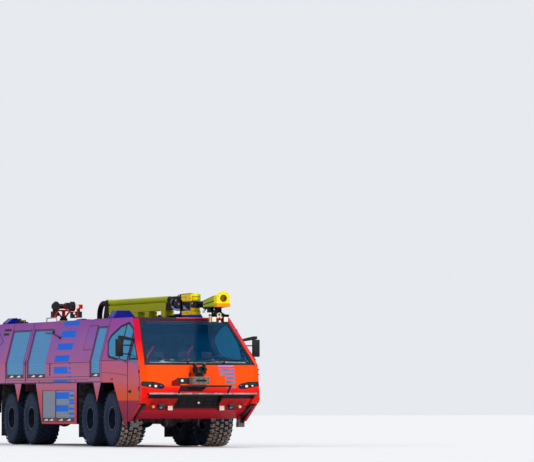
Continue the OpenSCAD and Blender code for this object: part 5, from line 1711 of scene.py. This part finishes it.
class TRUCK_OT_boom_details(bpy.types.Operator):
    """Rings, pipes, painted highlights, lamps and joints of the boom's head and its nozzle"""
    bl_idname = "truck.boom_details"
    bl_label = "Boom details"

    def execute(self, context):
        y = BOOM_Y
        swivel = PIVOT_Z - 0.105
        dark = bmesh.new()
        grey = bmesh.new()
        # Rings of the swivel with a thin grey painted highlight ring on them, bolts of both flanges
        for x, r in SWIVEL_RINGS:
            stud(dark, at(x, y, swivel), (0.030, 0.0, 0.0), r, 36)
        lathe(grey, band(0.120, 0.131, 0.0, 0.004), facing_x(at(-1.120, y, swivel)), 40)
        for spot in around(at(-1.121, y, swivel), 0.112, turns(12, math.pi / 12)):
            stud(grey, spot, (0.014, 0.0, 0.0), 0.009, 6)
        for dy in (-0.125, 0.125):
            for z in (3.26, 3.36, 3.46, 3.56):
                boom_bar(grey, (-0.412, dy, z), (-0.399, dy, z), 0.011, 6)
        for valve in VALVES:
            boom_box(dark, *valve)
        boom_bar(dark, (-0.56, -0.100, 3.52), (-0.56, -0.100, 3.60), 0.022, 14)
        piece("boom_valves", dark, "boom_inner", "mechanism_paint", black_trim(), smooth=35, bevel=0.002)
        piece("boom_bolts", grey, "boom_inner", "cylinder_rod", bare_grey(), smooth=30)
        route = ((-1.08, y - 0.10, 3.43), (-0.86, y - 0.135, 3.36), (-0.62, y - 0.145, 3.34),
                 (-0.41, y - 0.125, 3.34))
        pipe("boom_water_pipe", route, 0.026, "boom_inner", pipe_blue(), 0.10)
        for number, (dy, z) in enumerate(HOSES, 1):
            route = ((-0.80, y + dy, 3.595), (-0.72, y + dy, 3.69), (-0.50, y + dy, z), (0.10, y + dy, z),
                     (0.245, y + dy * 0.8, 3.70))
            pipe(f"boom_hose_{number}", route, 0.010, "boom_inner", hose_rubber(), 0.07)
        # White painted highlights and a plum painted reflection on the head
        labels = bmesh.new()
        for x, dy, z, r, index in PAINTED_GLINTS:
            boom_bar(labels, (x, dy, z), (x, dy + 0.008, z), r, 16, index)
        piece("boom_labels", labels, "boom_inner", "lamp_lens", lamp_white(), plum_paint(), smooth=30)
        # Pale blue painted highlights on the housing's black sides: frame lines along its edges and a wedge
        blue = bmesh.new()
        panel = ((-0.345, 3.318), (0.215, 3.318), (0.215, 3.535), (-0.345, 3.535))
        wedge = ((-0.30, 3.345), (-0.02, 3.345), (-0.30, 3.46))
        for s in SIDES.values():
            push = (0.0, s * 0.002, 0.0)
            rim_of(blue, [at(x, y + s * 0.1005, z) for x, z in panel], 0.010, push)
            plate(blue, [at(x, y + s * 0.1005, z) for x, z in wedge], push)
        piece("housing_frames", blue, "boom_inner", "mechanism_paint", pipe_blue())
        bands = bmesh.new()
        for z in (3.285, 3.548, 3.632):
            stud(bands, at(0.335, y, z), (0.0, 0.0, 0.012), 0.0955, 40)
        for s in SIDES.values():
            for x in (-0.34, -0.04, 0.26):
                boom_bar(bands, (x, s * 0.129, 3.60), (x, s * 0.137, 3.60), 0.010, 6)
        piece("column_bands", bands, "boom_inner", "mechanism_paint", black_trim(), smooth=35)
        self.dress_nozzle()
        return {"FINISHED"}

    def dress_nozzle(self):
        """Rings, struts and lamps that tilt with the nozzle."""
        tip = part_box("boom_nozzle")[1].x - 0.002
        middle = Vector((tip, BOOM_Y, PIVOT_Z - 0.06))
        dark = bmesh.new()
        bolts = bmesh.new()
        lamps = bmesh.new()
        eyes = bmesh.new()
        lathe(dark, band(0.070, 0.086, -0.10, 0.006), facing_x(middle), 40)
        for x in (0.86, 0.99, 1.12):
            stud(dark, at(x, BOOM_Y, TILT_Z), (0.025, 0.0, 0.0), 0.080, 36)
        boom_bar(dark, (1.17, 0.0, 3.520), (2.10, 0.0, 3.632), 0.022, 16)
        for s in SIDES.values():
            boom_bar(dark, (1.93, s * 0.15, 3.135), (1.52, s * 0.07, 3.35), 0.014, 12)
            boom_bar(dark, (1.20, s * 0.118, 3.43), (2.02, s * 0.162, 3.50), 0.009, 10)
        boom_bar(dark, (1.93, -0.255, 3.155), (1.93, 0.255, 3.155), 0.020, 12)
        boom_bar(dark, (1.30, -0.08, 3.335), (1.22, -0.12, 3.275), 0.014, 10)
        for bracket in BRACKETS:
            boom_box(dark, *bracket)
        for dy, low in LAMP_HOSES:
            boom_bar(dark, (1.50, dy, 3.34), (1.72, dy * 1.4, low), 0.016, 10)
            boom_bar(dark, (1.72, dy * 1.4, low), (1.93, dy * 1.4, 3.165), 0.016, 10)
        piece("nozzle_fittings", dark, "boom_nozzle", "mechanism_paint", black_trim(), smooth=35)
        for spot in around(middle, 0.142, (-1.9, -1.2, -0.6, 0.0, 0.6, 1.2, 1.9)):
            stud(bolts, spot, (0.008, 0.0, 0.0), 0.010, 6)
        piece("end_plate_bolts", bolts, "boom_nozzle", "cylinder_rod", bare_grey(), smooth=30)
        for y in (-0.15, 0.15):
            boom_box(lamps, (2.009, 2.016), (y - 0.052, y + 0.052), (3.002, 3.116))
        boom_box(lamps, (1.94, 1.985), (-0.018, 0.028), (2.985, 3.035))
        boom_bar(lamps, (1.958, -0.01, 3.17), (1.985, -0.01, 3.17), 0.052, 32)
        boom_box(lamps, (1.935, 2.005), (-0.262, -0.214), (2.99, 3.145), 1)
        place = Matrix.Translation(at(1.22, BOOM_Y - 0.125, 3.262))
        bmesh.ops.create_uvsphere(lamps, u_segments=20, v_segments=12, radius=0.034, matrix=place)
        piece("nozzle_lamps", lamps, "boom_nozzle", "lamp_lens", lamp_white(), tan_lens(),
              smooth=35, bevel=0.003)
        boom_bar(eyes, (1.984, -0.01, 3.17), (1.989, -0.01, 3.17), 0.026, 24)
        boom_bar(eyes, (1.955, 0.005, 3.03), (1.955, 0.005, 3.14), 0.010, 10)
        piece("lamp_centres", eyes, "boom_nozzle", "mechanism_paint", black_trim(), smooth=30)


# Folded arms on the roof: ahead of axle 1, across, above the roof
FOLDED_ARM = ((-8.55, 1.10, 0.03), (-8.42, 1.06, 0.12), (-8.22, 1.10, 0.10), (-8.02, 1.17, 0.02))
# Valve boxes and drives of the monitor: ahead of its middle, across from it, height
DRIVES = (((-0.10, 0.09), (-0.315, -0.205), (3.245, 3.420)), ((-0.08, 0.05), (-0.300, -0.140), (3.30, 3.40)),
          ((-0.09, 0.07), (0.205, 0.330), (3.250, 3.415)), ((-0.06, 0.06), (0.330, 0.480), (3.260, 3.420)))
# Round heads of the monitor: middle across, half width, radius
HEADS = ((-0.205, 0.035, 0.110), (0.235, 0.046, 0.112))
# Bars of the monitor: start and end, each ahead of its middle, across from it and in height, radius, steps
MONITOR_BARS = (((0.0, 0.0, 3.24), (0.0, 0.0, 3.30), 0.075, 24),
                ((-0.02, -0.06, 3.28), (-0.02, -0.185, 3.44), 0.022, 12),
                ((-0.02, 0.06, 3.28), (-0.02, 0.185, 3.44), 0.022, 12),
                ((0.02, -0.235, 3.545), (0.137, -0.235, 3.545), 0.105, 32),
                ((0.055, 0.195, 3.560), (0.120, 0.195, 3.560), 0.092, 32),
                ((0.0, -0.26, 3.41), (0.0, -0.26, 3.46), 0.035, 16),
                ((0.0, 0.40, 3.41), (0.0, 0.40, 3.49), 0.045, 16))
MONITOR_PIPES = (((0.11, -0.20, 3.43), (0.11, -0.28, 3.27), 0.016, 10),
                 ((0.085, 0.345, 3.25), (0.085, 0.345, 3.48), 0.018, 12),
                 ((0.06, -0.16, 3.57), (0.09, -0.16, 3.57), 0.045, 24),
                 ((0.06, 0.165, 3.57), (0.09, 0.165, 3.57), 0.045, 24))
MONITOR_DIALS = (((0.045, 0.315, 3.55), (0.120, 0.315, 3.55), 0.062, 28),
                 ((0.09, 0.255, 3.37), (0.096, 0.255, 3.37), 0.030, 24),
                 ((0.08, 0.295, 3.30), (0.086, 0.295, 3.30), 0.022, 24))
# Rings of the monitor's nozzle: rear and front ahead of its middle, radius, finish
MONITOR_RINGS = ((0.235, 0.255, 0.092, 0), (0.355, 0.376, 0.088, 0), (0.368, 0.3795, 0.082, 1))


class TRUCK_OT_roof_details(bpy.types.Operator):
    """Beacon bases, light rods, hatches and the roof monitor's heads"""
    bl_idname = "truck.roof_details"
    bl_label = "Roof details"

    def execute(self, context):
        hatches = bmesh.new()
        under = bmesh.new()
        for s in SIDES.values():
            for x in (-1.12, -9.57):
                box(hatches, (x, x + 0.42), (0.57, 1.17), (ROOF_Z + 0.001, ROOF_Z + 0.022), s)
            for x in (-8.10, -7.95, -7.80):
                stud(hatches, at(x, s * 1.12, ROOF_Z), (0.0, 0.0, 0.09), 0.020, 12)
        for x in (-4.6, -3.3, -2.2):
            box(hatches, (x - 0.30, x + 0.30), (-0.65, -0.05), (ROOF_Z, ROOF_Z + 0.045))
            box(hatches, (x - 0.33, x - 0.29), (-0.40, -0.30), (ROOF_Z, ROOF_Z + 0.06))
        box(hatches, (-9.0, -8.75), (-1.00, -0.72), (ROOF_Z, ROOF_Z + 0.06))
        piece("roof_hatches", hatches, "truck", "black_plastic", black_trim(), bevel=0.006)
        # Tray with its contents under the boom, hoses beside it, folded arm at each edge of the roof
        box(under, (-4.40, -1.25), (0.47, 0.73), (ROOF_Z, ROOF_Z + 0.060))
        for k in range(6):
            x = -4.2 + 0.55 * k
            box(under, (x, x + 0.22), (0.49, 0.71), (ROOF_Z + 0.055, ROOF_Z + 0.095))
        boom_box(under, (-2.75, -1.25), (0.115, 0.130), (ROOF_Z, ROOF_Z + 0.135))
        for y0, y1 in ((0.44, 0.46), (0.42, 0.49)):
            bar(under, (-4.4, y0, ROOF_Z + 0.03), (-1.2, y1, ROOF_Z + 0.03), 0.020, 12)
        for s in SIDES.values():
            spots = [(x, s * y, ROOF_Z + z) for x, y, z in FOLDED_ARM]
            for start, end in zip(spots, spots[1:]):
                bar(under, start, end, 0.024, 10)
        piece("roof_tray", under, "truck", "black_plastic", black_trim(), smooth=30)
        rail = ((-5.95, 0.0), (-5.95, 0.10), (-5.15, 0.10), (-5.15, 0.0))
        route = [(x, -1.14, ROOF_Z + z) for x, z in rail]
        pipe("roof_rail", route, 0.014, "truck", bare_grey())
        self.dress_monitor()
        return {"FINISHED"}

    def dress_monitor(self):
        """Drums, drives, pipes and rings of the roof monitor."""
        x, y, z = MONITOR
        off = Vector((x, y, 0.0))
        arm = bmesh.new()
        red = bmesh.new()
        dials = bmesh.new()
        rings = bmesh.new()
        for dy, half, r in HEADS:
            for s in SIDES.values():
                start = at(x, y + dy + s * (half - 0.004), z)
                stud(arm, start, (0.0, s * 0.012, 0.0), r, 36)
        for dx, dy, heights in DRIVES:
            box(arm, (x + dx[0], x + dx[1]), (y + dy[0], y + dy[1]), heights)
        for bm, rows in ((arm, MONITOR_BARS), (red, MONITOR_PIPES), (dials, MONITOR_DIALS)):
            for start, end, radius, steps in rows:
                bar(bm, off + Vector(start), off + Vector(end), radius, steps)
        for x0, x1, radius, index in MONITOR_RINGS:
            bar(rings, (x + x0, y, z), (x + x1, y, z), radius, 32, index)
        piece("monitor_pipes", red, "monitor_arm", "monitor_paint", red_paint(), smooth=35)
        piece("monitor_drums", arm, "monitor_arm", "mechanism_paint", black_trim(), smooth=35)
        piece("monitor_dial", dials, "monitor_arm", "lamp_lens", lamp_white(), smooth=30)
        piece("monitor_rings", rings, "monitor_nozzle", "monitor_paint", red_paint(), black_trim(), smooth=35)


class TRUCK_OT_underside(bpy.types.Operator):
    """Springs of the axles, straps of the air tanks and bolts of the shafts"""
    bl_idname = "truck.underside"
    bl_label = "Underside"

    def execute(self, context):
        springs = bmesh.new()
        straps = bmesh.new()
        for x in AXLE_X:
            for s in SIDES.values():
                for k in range(7):
                    stud(springs, (x, s * 0.395, HUB_Z + 0.02 + 0.028 * k), (0.0, 0.0, 0.014), 0.092, 24)
        for rear, front in zip(AXLE_X[1:], AXLE_X):
            for x in (front - 0.292, rear + 0.288):
                for spot in around((x, 0.0, HUB_Z + 0.06), 0.070, turns(8)):
                    stud(springs, spot, (0.034, 0.0, 0.0), 0.008, 6)
        for s in SIDES.values():
            for x in (-3.44, -2.96, -4.44, -3.96):
                bar(straps, (x - 0.018, s * 0.5553, 1.04), (x + 0.018, s * 0.5553, 1.04), 0.1175, 32)
        piece("axle_springs", springs, "truck", "axle_paint", cast_metal(), smooth=35)
        piece("tank_straps", straps, "truck", "chassis_paint", bare_grey(), smooth=35)
        return {"FINISHED"}


# Stage


# Suns: heading and height in degrees, strength, softness in degrees, colour
SUNS = {"key": (12, 32, 2.2, 24, (1.0, 0.97, 0.92)), "side": (-75, 35, 0.9, 50, (0.93, 0.95, 1.0)),
        "back": (150, 50, 0.9, 50, (1.0, 0.98, 0.95))}


def lay_floor(colour):
    """Wide pale floor."""
    f = Finish("pale_floor", colour, 0.7)
    f.patches(f.noise(0.4, 5.0), 0.35, 0.65, colour, (0.74, 0.75, 0.77), 0.25)
    bm = bmesh.new()
    bmesh.ops.create_grid(bm, x_segments=1, y_segments=1, size=400.0)
    mesh = bpy.data.meshes.new("floor")
    bm.to_mesh(mesh)
    bm.free()
    mesh.materials.append(f.material)
    floor = bpy.data.objects.new("floor", mesh)
    bpy.context.scene.collection.objects.link(floor)


def light_world():
    """Soft blueish light from all sides, a paler backdrop for the camera and through glass."""
    world = bpy.data.worlds.new("studio")
    bpy.context.scene.world = world
    world.use_nodes = True
    nodes, links = world.node_tree.nodes, world.node_tree.links
    back = nodes["Background"]
    back.inputs["Color"].default_value = (0.86, 0.90, 0.97, 1.0)
    back.inputs["Strength"].default_value = 0.44
    seen = nodes.new("ShaderNodeBackground")
    seen.inputs["Color"].default_value = (0.80, 0.82, 0.86, 1.0)
    seen.inputs["Strength"].default_value = 1.0
    path = nodes.new("ShaderNodeLightPath")
    either = nodes.new("ShaderNodeMath")
    either.operation = "MAXIMUM"
    links.new(path.outputs["Is Camera Ray"], either.inputs[0])
    links.new(path.outputs["Is Transmission Ray"], either.inputs[1])
    mix = nodes.new("ShaderNodeMixShader")
    links.new(either.outputs[0], mix.inputs["Fac"])
    links.new(back.outputs[0], mix.inputs[1])
    links.new(seen.outputs[0], mix.inputs[2])
    links.new(mix.outputs[0], nodes["World Output"].inputs["Surface"])


class TRUCK_OT_stage(bpy.types.Operator):
    """Pale floor, soft light and the camera"""
    bl_idname = "truck.stage"
    bl_label = "Stage"

    def execute(self, context):
        stage = context.scene.truck_stage
        lay_floor(tuple(stage.floor))
        light_world()
        for name, (heading, height, power, soft, tint) in SUNS.items():
            lamp = bpy.data.lights.new(name, "SUN")
            lamp.energy = power
            lamp.angle = math.radians(soft)
            lamp.color = tint
            holder = bpy.data.objects.new(name, lamp)
            turn, rise = math.radians(heading), math.radians(height)
            away = Vector((math.cos(turn) * math.cos(rise), math.sin(turn) * math.cos(rise), math.sin(rise)))
            holder.rotation_euler = away.to_track_quat("Z", "Y").to_euler()
            holder.location = away * 30
            context.scene.collection.objects.link(holder)
        camera = bpy.data.cameras.new("camera")
        camera.lens = stage.lens
        camera.sensor_width = 36.0
        camera.sensor_fit = "HORIZONTAL"
        camera.clip_end = 900.0
        holder = bpy.data.objects.new("camera", camera)
        holder.location = stage.camera_place
        holder.rotation_euler = (math.pi / 2 + stage.camera_tilt, 0.0, stage.camera_pan - math.pi / 2)
        context.scene.collection.objects.link(holder)
        context.scene.camera = holder
        context.scene.view_settings.view_transform = "Standard"
        return {"FINISHED"}


OPERATORS = (TRUCK_OT_stage, TRUCK_OT_finish_solids, TRUCK_OT_tyres, TRUCK_OT_wheel_nuts, TRUCK_OT_shutters,
             TRUCK_OT_stripes, TRUCK_OT_body_trim, TRUCK_OT_rear, TRUCK_OT_cab_trim, TRUCK_OT_front_lamps,
             TRUCK_OT_front_details, TRUCK_OT_turret, TRUCK_OT_mirrors, TRUCK_OT_interior,
             TRUCK_OT_boom_details, TRUCK_OT_roof_details, TRUCK_OT_underside)


class TRUCK_PT_panel(bpy.types.Panel):
    """Lists the truck's pieces in the sidebar"""
    bl_label = "Fire Truck"
    bl_space_type = "VIEW_3D"
    bl_region_type = "UI"
    bl_category = "Fire Truck"

    def draw(self, context):
        for operator in OPERATORS:
            self.layout.operator(operator.bl_idname)


CLASSES = (TruckColours, TruckSizes, TruckStage, *OPERATORS, TRUCK_PT_panel)


def register():
    for made in CLASSES:
        bpy.utils.register_class(made)
    bpy.types.Scene.truck_colours = bpy.props.PointerProperty(type=TruckColours)
    bpy.types.Scene.truck_sizes = bpy.props.PointerProperty(type=TruckSizes)
    bpy.types.Scene.truck_stage = bpy.props.PointerProperty(type=TruckStage)


def unregister():
    for name in ("truck_colours", "truck_sizes", "truck_stage"):
        delattr(bpy.types.Scene, name)
    for made in reversed(CLASSES):
        bpy.utils.unregister_class(made)


def main():
    register()
    for operator in OPERATORS:
        group, name = operator.bl_idname.split(".")
        getattr(getattr(bpy.ops, group), name)()


if __name__ == "__main__":
    main()
